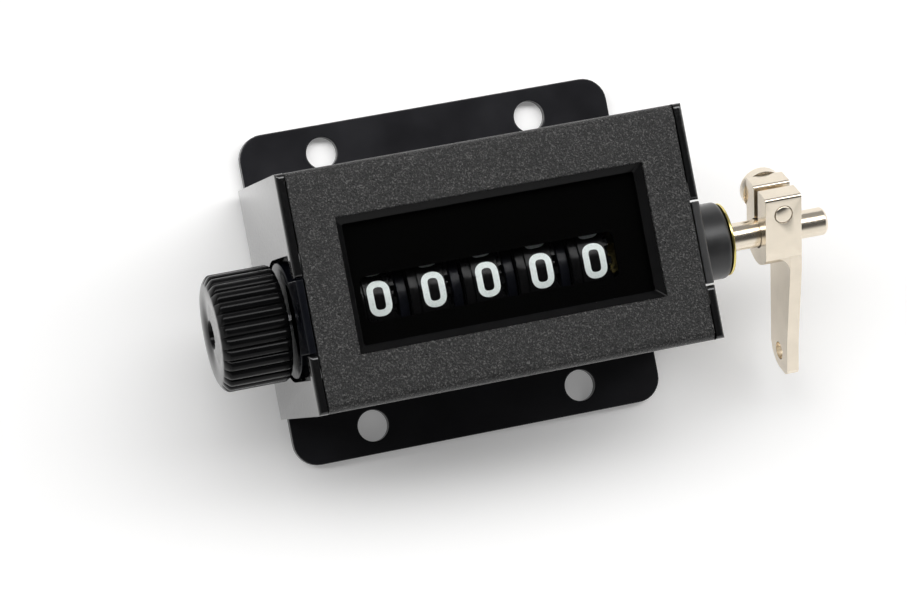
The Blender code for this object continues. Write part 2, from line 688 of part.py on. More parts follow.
def lug(side, outer, width):
    """Lug that runs from the disc to the face of the housing, with a rounded outer front edge."""
    start = AXIS_Z + LUG_START
    centre = (side * (outer - LUG_EDGE), HOUSING_TOP - LUG_EDGE)
    turns = (0.0, 90.0) if side > 0 else (180.0, 90.0)
    outline = [(side * WALL_INNER, start), (side * outer, start)]
    outline += arc(centre, LUG_EDGE, *turns, 3)
    outline += [(side * WALL_INNER, HOUSING_TOP)]
    return prism(outline, AXIS_Y - width / 2, AXIS_Y + width / 2, "Y")


def plate_holes(extra):
    """Holes of the rods, and of any extra pins, each (y, z, radius)."""
    rods = [(y, z, radius) for y, z, radius in rod_places().values()]
    return [circle(radius + RUN_GAP, 10, (y, z)) for y, z, radius in rods + extra]


def left_bearing_plate():
    """Plate, disc and lug in one moulding, with the reset shaft's bearing."""
    holes = plate_holes([]) + [circle(PLATE_BORE, 20, (AXIS_Y, AXIS_Z))]
    body = prism(bearing_plate_outline(), -PLATE_OUTER, -PLATE_INNER, "X", holes)
    plate = make_piece("mech_plate_left", BLUE_BLACK, body)
    bore = RESET_SHAFT_RADIUS + RUN_GAP
    inner = -PLATE_INNER - PIECE_OVERLAP
    edge = arc((LEFT_DISC + DISC_EDGE, DISC_RADIUS - DISC_EDGE), DISC_EDGE, 180.0, 90.0, 3)
    disc = [(inner, bore), (LEFT_DISC, bore), *edge, (inner, DISC_RADIUS)]
    combine(plate, "UNION", "add_disc_left", turned(disc, 24), (0.0, AXIS_Y, AXIS_Z))
    combine(plate, "UNION", "add_lug_left", lug(-1.0, -LEFT_DISC, LUG_WIDTH_LEFT))


def right_bearing_plate():
    """Plate, disc, lug and boss in one moulding, with the bush's bore."""
    extra = [(y, z, radius) for y, z, radius, _ in drive_pins().values()]
    holes = plate_holes(extra) + [circle(PLATE_BORE, 20, (AXIS_Y, AXIS_Z))]
    body = prism(bearing_plate_outline(), PLATE_INNER, PLATE_OUTER, "X", holes)
    plate = make_piece("mech_plate_right", TEXTURED_BLACK, body)
    bore = DRIVE_SHAFT_RADIUS + RUN_GAP + BUSH_WALL + RUN_GAP
    inner = PLATE_INNER + PIECE_OVERLAP
    disc = [
        (inner, bore),
        (inner, DISC_RADIUS),
        (WALL_OUTER - DISC_EDGE / 2, DISC_RADIUS),
        (WALL_OUTER, DISC_RADIUS - DISC_EDGE / 2),
        (WALL_OUTER, BOSS_RADIUS),
        (BOSS_RIGHT - BOSS_CHAMFER, BOSS_RADIUS),
        (BOSS_RIGHT, BOSS_RADIUS - BOSS_CHAMFER),
        (BOSS_RIGHT, bore),
    ]
    combine(plate, "UNION", "add_disc_right", turned(disc, 24), (0.0, AXIS_Y, AXIS_Z))
    combine(plate, "UNION", "add_lug_right", lug(1.0, WALL_OUTER, LUG_WIDTH_RIGHT))


def rods_and_pins():
    """Rods that tie the two plates, and the pins that stand on the right plate."""
    for name, (y, z, radius) in rod_places().items():
        rod = turned(pin_profile(-PLATE_OUTER, PLATE_OUTER, radius, PIN_CHAMFER), 10)
        make_piece(name, STEEL, moved(rod, (0.0, y, z)))
    for name, (y, z, radius, left) in drive_pins().items():
        pin = turned(pin_profile(left, PLATE_OUTER, radius, PIN_CHAMFER), 10)
        make_piece(name, STEEL, moved(pin, (0.0, y, z)))


# ---------------------------------------------------------------- counting train

def digit_centre(number):
    """Place along X of the figures of wheel 1 to WHEEL_COUNT."""
    return FIRST_DIGIT + (number - 1) * DIGIT_PITCH


def number_wheels():
    """Wheels with a rim, a groove, a figure band, a gear and a hub."""
    bore = RESET_SHAFT_RADIUS + RUN_GAP
    inner = RIM_RADIUS - RIM_THICKNESS
    web = BAND_RIGHT - WHEEL_WEB
    band_left = -FIGURE_OFFSET
    groove = FIGURE_RADIUS - GROOVE_DEPTH
    profile = [
        (-WHEEL_LEFT, bore),
        (-WHEEL_LEFT, HUB_RADIUS),
        (web, HUB_RADIUS),
        (web, inner),
        (-WHEEL_LEFT, inner),
        (-WHEEL_LEFT, RIM_RADIUS),
        (band_left - GROOVE_WIDTH, RIM_RADIUS),
        (band_left - GROOVE_WIDTH, groove),
        (band_left, groove),
        (band_left, FIGURE_RADIUS),
        (BAND_RIGHT, FIGURE_RADIUS),
        (BAND_RIGHT, HUB_RADIUS),
        (WHEEL_RIGHT, HUB_RADIUS),
        (WHEEL_RIGHT, bore),
    ]
    root = GEAR_PITCH_RADIUS - GEAR_DEDENDUM
    tip = GEAR_PITCH_RADIUS + GEAR_ADDENDUM
    teeth = gear_outline(GEAR_TEETH, GEAR_PITCH_RADIUS, tip, root, 0.0, 2)
    for number in range(1, WHEEL_COUNT + 1):
        place = (digit_centre(number), AXIS_Y, AXIS_Z)
        name = f"number_wheel_{number}"
        wheel = make_piece(name, SATIN_BLACK, turned(profile, WHEEL_SEGMENTS), place)
        gear = prism(teeth, BAND_RIGHT - PIECE_OVERLAP, GEAR_RIGHT, "X", [circle(root - GEAR_RING, 20)])
        combine(wheel, "UNION", f"add_gear_{number}", gear, place)


def pinion_carriers():
    """Plates between the wheels, which hold the pinions and part the wheels."""
    outline = belt([
        (AXIS_Y, AXIS_Z, CARRIER_RADIUS),
        (PINION_Y, AXIS_Z, CARRIER_EYE),
        (carrier_rod_y(), ROD_Z, ROD_BOSS),
    ], 36)
    holes = [
        circle(RESET_SHAFT_RADIUS + RUN_GAP, 12, (AXIS_Y, AXIS_Z)),
        circle(PINION_COLLAR_RADIUS + RUN_GAP, 14, (PINION_Y, AXIS_Z)),
        circle(ROD_RADIUS + RUN_GAP, 10, (carrier_rod_y(), ROD_Z)),
    ]
    for number in range(1, WHEEL_COUNT):
        left = digit_centre(number) + GEAR_RIGHT + CARRIER_GAP_LEFT
        body = prism(outline, left, left + CARRIER_THICKNESS, "X", holes)
        make_piece(f"pinion_carrier_{number}", BLUE_BLACK, body)


def transfer_pinions():
    """Pinions in mesh with each higher wheel's gear, with a collar through the carrier."""
    teeth = gear_outline(
        PINION_TEETH,
        PINION_PITCH_RADIUS,
        PINION_PITCH_RADIUS + PINION_ADDENDUM,
        PINION_PITCH_RADIUS - PINION_DEDENDUM,
        180.0 / PINION_TEETH,
        4,
    )
    bore = PINION_SHAFT_RADIUS + RUN_GAP
    start = BAND_RIGHT + RUN_GAP
    carrier_left = GEAR_RIGHT + CARRIER_GAP_LEFT
    end = carrier_left + CARRIER_THICKNESS + PINION_COLLAR_END
    collar = ring_profile(start + PIECE_OVERLAP / 2, end, bore, PINION_COLLAR_RADIUS)
    hollow = circle(bore + PIECE_OVERLAP, 10)
    for number in range(1, WHEEL_COUNT):
        place = (digit_centre(number), PINION_Y, AXIS_Z)
        body = prism(teeth, start, carrier_left - RUN_GAP, "X", [hollow])
        pinion = make_piece(f"transfer_pinion_{number}", SATIN_BLACK, body, place)
        combine(pinion, "UNION", f"add_collar_{number}", turned(collar, 12), place)


def ratchet_wheel():
    """Saw-toothed brass wheel at the units wheel's side."""
    outline = []
    for tooth in range(RATCHET_TEETH):
        start = math.tau * tooth / RATCHET_TEETH
        end = math.tau * (tooth + 1) / RATCHET_TEETH
        root = RATCHET_RADIUS - RATCHET_TOOTH
        outline.append((root * math.cos(start), root * math.sin(start)))
        outline.append((RATCHET_RADIUS * math.cos(end - 0.05), RATCHET_RADIUS * math.sin(end - 0.05)))
    hole = circle(RESET_SHAFT_RADIUS + RUN_GAP, 12)
    body = prism(outline, RATCHET_LEFT, RATCHET_RIGHT, "X", [hole])
    make_piece("ratchet_wheel", BRASS, body, (0.0, AXIS_Y, AXIS_Z))


# ---------------------------------------------------------------- reset shaft and knob

def reset_shaft():
    """Shaft of the wheels, with a journal that turns in the drive shaft's end."""
    left = KNOB_SEAT + SEAT_GAP
    right = DRIVE_SHAFT_LEFT - SEAT_GAP
    profile = [
        (left, 0.0),
        (left, RESET_SHAFT_RADIUS - PIN_CHAMFER),
        (left + PIN_CHAMFER, RESET_SHAFT_RADIUS),
        (right, RESET_SHAFT_RADIUS),
        (right, JOURNAL_RADIUS),
        (right + JOURNAL_LENGTH - SEAT_GAP, JOURNAL_RADIUS),
        (right + JOURNAL_LENGTH - SEAT_GAP, 0.0),
    ]
    make_piece("reset_shaft", STEEL, turned(profile, 12), (0.0, AXIS_Y, AXIS_Z))


def stack_spacer():
    """Sleeve that sets the first wheel off the left plate."""
    left = -PLATE_INNER + RUN_GAP
    right = digit_centre(1) - WHEEL_LEFT - RUN_GAP
    profile = ring_profile(left, right, RESET_SHAFT_RADIUS + RUN_GAP, SPACER_RADIUS)
    make_piece("stack_spacer", STEEL, turned(profile, 14), (0.0, AXIS_Y, AXIS_Z))


def reset_knob():
    """Knob with rounded ribs that run out through its chamfer, and a hole in its end."""
    samples = 4

    def ribbed(place, radius, depth):
        points = []
        for step in range(KNOB_RIBS * samples):
            turn = math.tau * step / (KNOB_RIBS * samples)
            wave = abs(math.cos(KNOB_RIBS * turn / 2))
            reach = radius - depth * (1.0 - wave ** 0.6)
            points.append((place, reach * math.cos(turn), reach * math.sin(turn)))
        return points

    outer = [
        ribbed(KNOB_END, KNOB_RADIUS - KNOB_CHAMFER, KNOB_RIB_DEPTH * 0.3),
        ribbed(KNOB_END + KNOB_CHAMFER, KNOB_RADIUS, KNOB_RIB_DEPTH),
        ribbed(KNOB_REAR - KNOB_REAR_CHAMFER, KNOB_RADIUS, KNOB_RIB_DEPTH),
        ribbed(KNOB_REAR, KNOB_RADIUS - KNOB_REAR_CHAMFER, KNOB_RIB_DEPTH * 0.5),
    ]
    wide = circle(KNOB_HOLE_RADIUS, 20)
    narrow = circle(RESET_SHAFT_RADIUS + RUN_GAP, 20)
    bore = [
        lay(wide, KNOB_END, "X"),
        lay(wide, KNOB_SEAT, "X"),
        lay(narrow, KNOB_SEAT, "X"),
        lay(narrow, KNOB_REAR, "X"),
    ]
    make_piece("reset_knob", SATIN_BLACK, loft([outer, bore]), (0.0, AXIS_Y, AXIS_Z))


# ---------------------------------------------------------------- stroke drive

def drive_shaft():
    """Lever's shaft, with a bore for the reset shaft's journal."""
    chamfer = DRIVE_SHAFT_CHAMFER
    radius = DRIVE_SHAFT_RADIUS
    bore = JOURNAL_RADIUS + RUN_GAP
    bore_end = DRIVE_SHAFT_LEFT + JOURNAL_LENGTH
    profile = [
        (bore_end, 0.0),
        (bore_end, bore),
        (DRIVE_SHAFT_LEFT, bore),
        (DRIVE_SHAFT_LEFT, radius),
        (DRIVE_SHAFT_RIGHT - chamfer, radius),
        (DRIVE_SHAFT_RIGHT, radius - chamfer),
        (DRIVE_SHAFT_RIGHT, 0.0),
    ]
    make_piece("drive_shaft", NICKEL, turned(profile, 16), (0.0, AXIS_Y, AXIS_Z))


def bearing_bush():
    """Brass bush in the boss, with a flange on its end."""
    bore = DRIVE_SHAFT_RADIUS + RUN_GAP
    sleeve = bore + BUSH_WALL
    flange = BUSH_RIGHT - BUSH_FLANGE
    profile = [
        (PLATE_INNER, bore),
        (PLATE_INNER, sleeve),
        (flange, sleeve),
        (flange, BUSH_FLANGE_RADIUS),
        (BUSH_RIGHT, BUSH_FLANGE_RADIUS),
        (BUSH_RIGHT, bore),
    ]
    make_piece("bearing_bush", BRASS, moved(turned(profile, 20), (0.0, AXIS_Y, AXIS_Z)))


def pawl_outline(angle):
    """Pawl from its pin to its tip, about the wheel shaft."""
    pin_y, pin_z = polar(PAWL_PIN_DISTANCE, angle)
    tip_y, tip_z = polar(RATCHET_RADIUS + TIP_GAP + PAWL_TIP, angle + PAWL_SWEEP)
    return belt([(0.0, 0.0, PAWL_EYE), (tip_y - pin_y, tip_z - pin_z, PAWL_TIP)], 16)


def pawls():
    """Drive pawl, carried by the arm, and holding pawl, carried by the right plate."""
    hole = circle(PAWL_PIN_RADIUS + RUN_GAP, 10)
    for name, angle in (("drive_pawl", DRIVE_PAWL_ANGLE), ("holding_pawl", HOLDING_PAWL_ANGLE)):
        y, z = polar(PAWL_PIN_DISTANCE, angle)
        body = prism(pawl_outline(angle), RATCHET_LEFT, RATCHET_RIGHT, "X", [hole])
        make_piece(name, STEEL, body, (0.0, AXIS_Y + y, AXIS_Z + z))


def pawl_arm():
    """Arm on the drive shaft, and the pin that carries the drive pawl."""
    y, z = polar(PAWL_PIN_DISTANCE, DRIVE_PAWL_ANGLE)
    outline = belt([(0.0, 0.0, ARM_HUB_RADIUS), (y, z, ARM_EYE)], 24)
    holes = [circle(DRIVE_SHAFT_RADIUS + RUN_GAP, 16), circle(PAWL_PIN_RADIUS + RUN_GAP, 10, (y, z))]
    place = (0.0, AXIS_Y, AXIS_Z)
    make_piece("pawl_arm", STEEL, prism(outline, ARM_LEFT, ARM_RIGHT, "X", holes), place)
    pin = turned(pin_profile(RATCHET_LEFT - PIN_LEAD, ARM_RIGHT, PAWL_PIN_RADIUS, PIN_CHAMFER), 10)
    make_piece("pawl_pin", STEEL, moved(pin, (0.0, y, z)), place)


def return_spring():
    """Torsion spring round the drive shaft, between the arm and the right plate."""
    mean = DRIVE_SHAFT_RADIUS + SPRING_CLEARANCE + SPRING_WIRE
    left = ARM_RIGHT + SPRING_WIRE + SEAT_GAP
    right = PLATE_INNER - SPRING_WIRE - SEAT_GAP
    steps_per_turn = 10
    steps = round(SPRING_TURNS * steps_per_turn)
    sections = []
    for step in range(steps + 1):
        turn = math.tau * step / steps_per_turn
        x = left + (right - left) * step / steps
        section = []
        for p, q in circle(SPRING_WIRE, 5):
            radius = mean + p
            section.append((x + q, AXIS_Y + radius * math.cos(turn), AXIS_Z + radius * math.sin(turn)))
        sections.append(section)
    make_piece("return_spring", STEEL, loft([sections]))


# ---------------------------------------------------------------- lever
# The lever is modelled with Z along its arm and Y towards its front, and then tilted about the shaft.

def lever_side_outline():
    """Side of the arm plate, with its tapered front edge and rounded end, as (y, z)."""
    outline = [(-BLOCK_HALF_WIDTH, -BLOCK_TOP)]
    outline += arc((BLOCK_HALF_WIDTH - BLOCK_CORNER, -BLOCK_TOP + BLOCK_CORNER), BLOCK_CORNER, -90.0, 0.0, 2)
    outline += [(ARM_FRONT_NEAR, ARM_TAPER_START), (ARM_FRONT_FAR, ARM_LENGTH - ARM_TAPER_INSET)]
    outline += arc((ARM_FRONT_FAR - ARM_FRONT_CORNER, ARM_LENGTH - ARM_FRONT_CORNER),
                   ARM_FRONT_CORNER, 0.0, 90.0, 3)
    outline += arc((-ARM_REAR + ARM_REAR_CORNER, ARM_LENGTH - ARM_REAR_CORNER),
                   ARM_REAR_CORNER, 90.0, 180.0, 5)
    outline += [(-ARM_REAR, ARM_TAPER_START), (-BLOCK_HALF_WIDTH, 0.0)]
    return outline


def block_outline():
    """Side of the clamp block: flat on top and rounded about the shaft below, as (y, z)."""
    corner = math.degrees(math.acos(BLOCK_HALF_WIDTH / BLOCK_NOSE))
    outline = [(-BLOCK_HALF_WIDTH, -BLOCK_TOP)]
    outline += arc((BLOCK_HALF_WIDTH - BLOCK_CORNER, -BLOCK_TOP + BLOCK_CORNER), BLOCK_CORNER, -90.0, 0.0, 2)
    outline += arc((0.0, 0.0), BLOCK_NOSE, corner, 180.0 - corner, 8)
    return outline


def fillet_solid():
    """Concave fillet between the block's end and the arm."""
    start = BLOCK_NOSE * math.sin(math.acos(BLOCK_HALF_WIDTH / BLOCK_NOSE))
    outline = arc((ARM_PLATE_LEFT - ARM_FILLET, start + ARM_FILLET), ARM_FILLET, -90.0, 0.0, 5)
    inside = ARM_PLATE_LEFT + PIECE_OVERLAP / 2
    outline += [(inside, start + ARM_FILLET), (inside, 0.0), (ARM_PLATE_LEFT - ARM_FILLET, 0.0)]
    reach = BLOCK_HALF_WIDTH - SEAT_GAP / 3
    return prism(outline, -reach, reach, "Y")


def lever():
    """Clamp lever: block with a slot, arm with a hole, and a fillet between them."""
    place = (0.0, AXIS_Y, AXIS_Z)
    tilt = 90.0 + LEVER_TILT
    arm = prism(lever_side_outline(), ARM_PLATE_LEFT, BLOCK_RIGHT)
    body = make_piece("lever", NICKEL, arm, place, tilt)
    block = prism(block_outline(), BLOCK_LEFT, ARM_PLATE_LEFT + PIECE_OVERLAP)
    combine(body, "UNION", "add_block", block, place, tilt)
    combine(body, "UNION", "add_fillet", fillet_solid(), place, tilt)
    bore = circle(DRIVE_SHAFT_RADIUS + RUN_GAP, 24)
    left = BLOCK_LEFT - CUT_OVERRUN
    right = BLOCK_RIGHT + CUT_OVERRUN
    combine(body, "DIFFERENCE", "cut_bore", prism(bore, left, right), place, tilt)
    half = CLAMP_SLOT / 2
    top = -BLOCK_TOP - CUT_OVERRUN
    slot = [(-half, top), (half, top), (half, 0.0), (-half, 0.0)]
    combine(body, "DIFFERENCE", "cut_slot", prism(slot, left, right), place, tilt)
    screw = circle(CLAMP_SCREW_RADIUS + RUN_GAP, 14, (clamp_screw_x(), -CLAMP_SCREW_AT))
    reach = BLOCK_HALF_WIDTH + CUT_OVERRUN
    screw_hole = prism(screw, -reach, reach, "Y")
    hole_place = (-ARM_HOLE_OFFSET, ARM_LENGTH - ARM_HOLE_INSET)
    arm_hole = prism(circle(ARM_HOLE_RADIUS, 16, hole_place), left, right)
    combine(body, "DIFFERENCE", "cut_holes", joined([screw_hole, arm_hole]), place, tilt)


def clamp_screw_x():
    """Middle of the clamp block."""
    return (BLOCK_LEFT + BLOCK_RIGHT) / 2


def clamp_screw():
    """Screw across the clamp slot, with a round-edged head at the rear."""
    seat = -BLOCK_HALF_WIDTH - SEAT_GAP
    tip = BLOCK_HALF_WIDTH + PIN_CHAMFER
    profile = [
        (tip, 0.0),
        (tip, CLAMP_SCREW_RADIUS - PIN_CHAMFER),
        (tip - PIN_CHAMFER, CLAMP_SCREW_RADIUS),
        (seat, CLAMP_SCREW_RADIUS),
        (seat, CLAMP_HEAD_RADIUS),
    ]
    rear = seat - CLAMP_HEAD_HEIGHT
    centre = (rear + CLAMP_HEAD_EDGE, CLAMP_HEAD_RADIUS - CLAMP_HEAD_EDGE)
    profile += arc(centre, CLAMP_HEAD_EDGE, 90.0, 180.0, 2)
    profile.append((rear, 0.0))
    screw = moved(turned(profile, 16, "Y"), (clamp_screw_x(), 0.0, -CLAMP_SCREW_AT))
    make_piece("clamp_screw", NICKEL, screw, (0.0, AXIS_Y, AXIS_Z), 90.0 + LEVER_TILT)


def main():
    """Builds the counter in an empty scene."""
    for left_over in list(bpy.data.objects):
        bpy.data.objects.remove(left_over, do_unlink=True)
    base_plate()
    base_rivets()
    shell_frame()
    cover()
    window_stack()
    left_bearing_plate()
    right_bearing_plate()
    rods_and_pins()
    number_wheels()
    pinion_carriers()
    transfer_pinions()
    ratchet_wheel()
    reset_shaft()
    stack_spacer()
    reset_knob()
    drive_shaft()
    bearing_bush()
    pawls()
    pawl_arm()
    return_spring()
    lever()
    clamp_screw()


main()
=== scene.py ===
"""Looks of a five-digit stroke counter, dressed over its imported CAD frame.

Lengths are in metres. +X runs along the wheel shaft towards the lever, +Y across the face and +Z out of
the window. Each operator makes one piece, or a group of like pieces, from sizes in the frame and in the
property groups; every new surface is an array of points worked out from a formula.
"""

import functools
import math

import bmesh
import bpy
import numpy as np
from bpy.props import FloatProperty, FloatVectorProperty, IntProperty, PointerProperty
from mathutils import Matrix, Vector


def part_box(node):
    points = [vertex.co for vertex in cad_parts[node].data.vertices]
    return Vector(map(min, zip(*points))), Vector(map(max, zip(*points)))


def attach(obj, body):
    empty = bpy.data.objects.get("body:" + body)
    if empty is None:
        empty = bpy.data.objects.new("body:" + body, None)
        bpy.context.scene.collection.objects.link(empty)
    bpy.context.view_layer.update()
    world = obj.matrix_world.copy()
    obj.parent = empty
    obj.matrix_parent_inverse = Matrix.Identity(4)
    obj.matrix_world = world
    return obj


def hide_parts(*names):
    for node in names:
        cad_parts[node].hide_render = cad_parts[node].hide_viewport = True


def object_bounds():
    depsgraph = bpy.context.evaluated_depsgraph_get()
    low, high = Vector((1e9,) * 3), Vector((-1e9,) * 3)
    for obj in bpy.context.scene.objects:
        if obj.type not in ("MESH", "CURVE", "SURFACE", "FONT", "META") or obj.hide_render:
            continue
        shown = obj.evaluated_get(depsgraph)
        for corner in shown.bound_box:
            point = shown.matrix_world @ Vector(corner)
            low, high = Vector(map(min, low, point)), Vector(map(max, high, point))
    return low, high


bl_info = {
    "name": "Stroke counter looks",
    "version": (1, 0, 0),
    "blender": (4, 5, 0),
    "location": "View3D > Sidebar > Counter",
    "description": "Makes the visible surfaces, finishes and studio of a five-digit stroke counter",
    "category": "Object",
}

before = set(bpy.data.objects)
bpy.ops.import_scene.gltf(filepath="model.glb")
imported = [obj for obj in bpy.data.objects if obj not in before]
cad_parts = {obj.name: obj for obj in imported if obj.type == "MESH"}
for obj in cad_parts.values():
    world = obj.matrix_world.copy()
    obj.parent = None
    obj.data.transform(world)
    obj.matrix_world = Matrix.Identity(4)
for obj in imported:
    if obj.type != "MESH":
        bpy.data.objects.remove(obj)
CAD_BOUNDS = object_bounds()
MM = 0.001
RESET_BORE = 1.65 * MM  # radius of every bore round the reset shaft
FACE_STEP = 0.05 * MM  # keeps faces of one piece out of one plane
FIGURE_STEP = 0.12 * MM  # spacing of the points along a figure's stroke
FIGURE_PITCH = math.radians(36.0)  # ten figures to a turn
SAME_POINT = 2e-7  # points nearer than this are one
NO_LENGTH = 1e-8  # edges shorter than this are none
EDGE_SEGMENTS = 3  # faces across a rounded edge
SMALL_TURNS = 48  # points round a small circle
LARGE_TURNS = 96  # points round a large one
WHEEL_TURNS = 128  # points round a number wheel


def corners(node):
    """Lowest and highest corner of a CAD node, as arrays."""
    low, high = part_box(node)
    return np.array(low), np.array(high)


WHEELS = [f"number_wheel_{number}" for number in range(1, 6)]
WHEEL_BODIES = ["wheel_1", "wheel_2", "wheel_3", "wheel_4", "units_wheel"]
AXIS = sum(corners("drive_shaft")) / 2.0
AXIS_Y, AXIS_Z = AXIS[1], AXIS[2]
HOUSING_TOP = corners("cover")[1][2]
WALL_OUTER = corners("shell_frame")[1][0]


# ---------------------------------------------------------------- sizes and colours

def length(name, description, default):
    """Property of a length."""
    return FloatProperty(name=name, description=description, default=default, unit="LENGTH", precision=5)


def turn(name, description, degrees):
    """Property of an angle."""
    return FloatProperty(name=name, description=description, default=math.radians(degrees), unit="ROTATION")


def share(name, description, default):
    """Property of a plain number that isn't negative."""
    return FloatProperty(name=name, description=description, default=default, min=0.0)


def slope(name, description, default):
    """Property for a place or length on the plane one metre overhead."""
    return FloatProperty(name=name, description=description, default=default)


def colour(name, description, default):
    """Property of a linear colour."""
    return FloatVectorProperty(name=name, description=description, default=default, subtype="COLOR",
                               size=3, min=0.0, max=1.0)


class HousingSizes(bpy.types.PropertyGroup):
    """Sheet-metal and window sizes that the frame's boxes don't give."""

    base_corner: length("Base corner", "Corner radius of the base plate", 3.5 * MM)
    screw_hole: length("Screw hole", "Radius of the base plate's screw holes", 2.25 * MM)
    screw_inset_x: length("Screw inset, long", "From the base plate's ends to its screw holes", 11.85 * MM)
    screw_inset_y: length("Screw inset, across", "From the base plate's sides to its screw holes", 4.05 * MM)
    rivet_neck: share("Rivet neck", "Radius of a rivet's hole at the top, to its head's", 0.6)
    rivet_shank: share("Rivet shank", "Radius of a rivet's shank, to its head's", 0.58)
    rivet_upset: share("Rivet upset", "Radius of a rivet's dome, to its head's", 0.96)
    rivet_dome: length("Rivet dome", "Height of a rivet's dome", 0.72 * MM)
    rivet_sink: length("Rivet sink", "Depth of a rivet's countersunk head", 0.75 * MM)
    sheet_edge: length("Sheet edge", "Rounding of the sheet metal's edges", 0.16 * MM)
    wall: length("Wall", "Thickness of the folded end frame", 1.2 * MM)
    wall_nose: length("Wall nose", "Rounding of the end walls' front edges", 0.6 * MM)
    frame_edge: length("Frame edge", "Rounding of the end frame's cut edges", 0.1 * MM)
    floor_bend: length("Floor bend", "Outer radius of the bends at the floor", 1.5 * MM)
    inner_bend: length("Inner bend", "Inner radius of the bends at the floor", 0.3 * MM)
    slot_radius: length("Slot radius", "Half the width of the walls' slots", 8.5 * MM)
    tongue: length("Tongue", "Depth of the tongues at the slots' mouths", 1.5 * MM)
    tongue_corner: length("Tongue corner", "Rounding of the tongues' tips", 0.75 * MM)
    tongue_root: length("Tongue root", "Rounding at the lips beside the tongues", 0.675 * MM)
    slot_shoulder: length("Slot shoulder", "Rounding where the lips meet the slots", 0.3 * MM)
    tongue_gap: length("Tongue gap", "From a tongue to the lug beside it", 0.25 * MM)
    wall_corner: length("Wall corner", "Rounding of the walls' two outer front corners", 0.8 * MM)
    cover_sheet: length("Cover sheet", "Thickness of the cover", 0.5 * MM)
    cover_bend: length("Cover bend", "Outer radius of the cover's two bends", 1.3 * MM)
    cover_edge: length("Cover edge", "Rounding of the cover's painted edges", 0.14 * MM)
    cover_fit: length("Cover fit", "From the floor's sides to the cover", 0.15 * MM)
    bezel_flange: length("Bezel flange", "Width of the bezel's flange behind the cover", 1.8 * MM)
    bezel_step: length("Bezel step", "Width of the bezel's sloping band", 1.05 * MM)
    bezel_slope: length("Bezel slope", "Depth of the bezel's sloping band", 1.05 * MM)
    bezel_fit: length("Bezel fit", "From the window's edge to the bezel's band", 0.15 * MM)
    bezel_corner: length("Bezel corner", "Corner radius of the bezel's opening", 0.25 * MM)
    bezel_spread: share("Bezel spread", "Growth of the bezel's corners, to that of its section", 0.4)
    mask_corner: length("Mask corner", "Corner radius of the mask", 1.0 * MM)
    slot_left: length("Slot, left", "Left end of the reading slot", -19.5 * MM)
    slot_right: length("Slot, right", "Right end of the reading slot", 16.55 * MM)
    slot_low: length("Slot, low", "Lower edge of the reading slot", -5.38 * MM)
    slot_high: length("Slot, high", "Upper edge of the reading slot", 0.9 * MM)
    slot_corner: length("Slot corner", "Corner radius of the reading slot", 0.8 * MM)


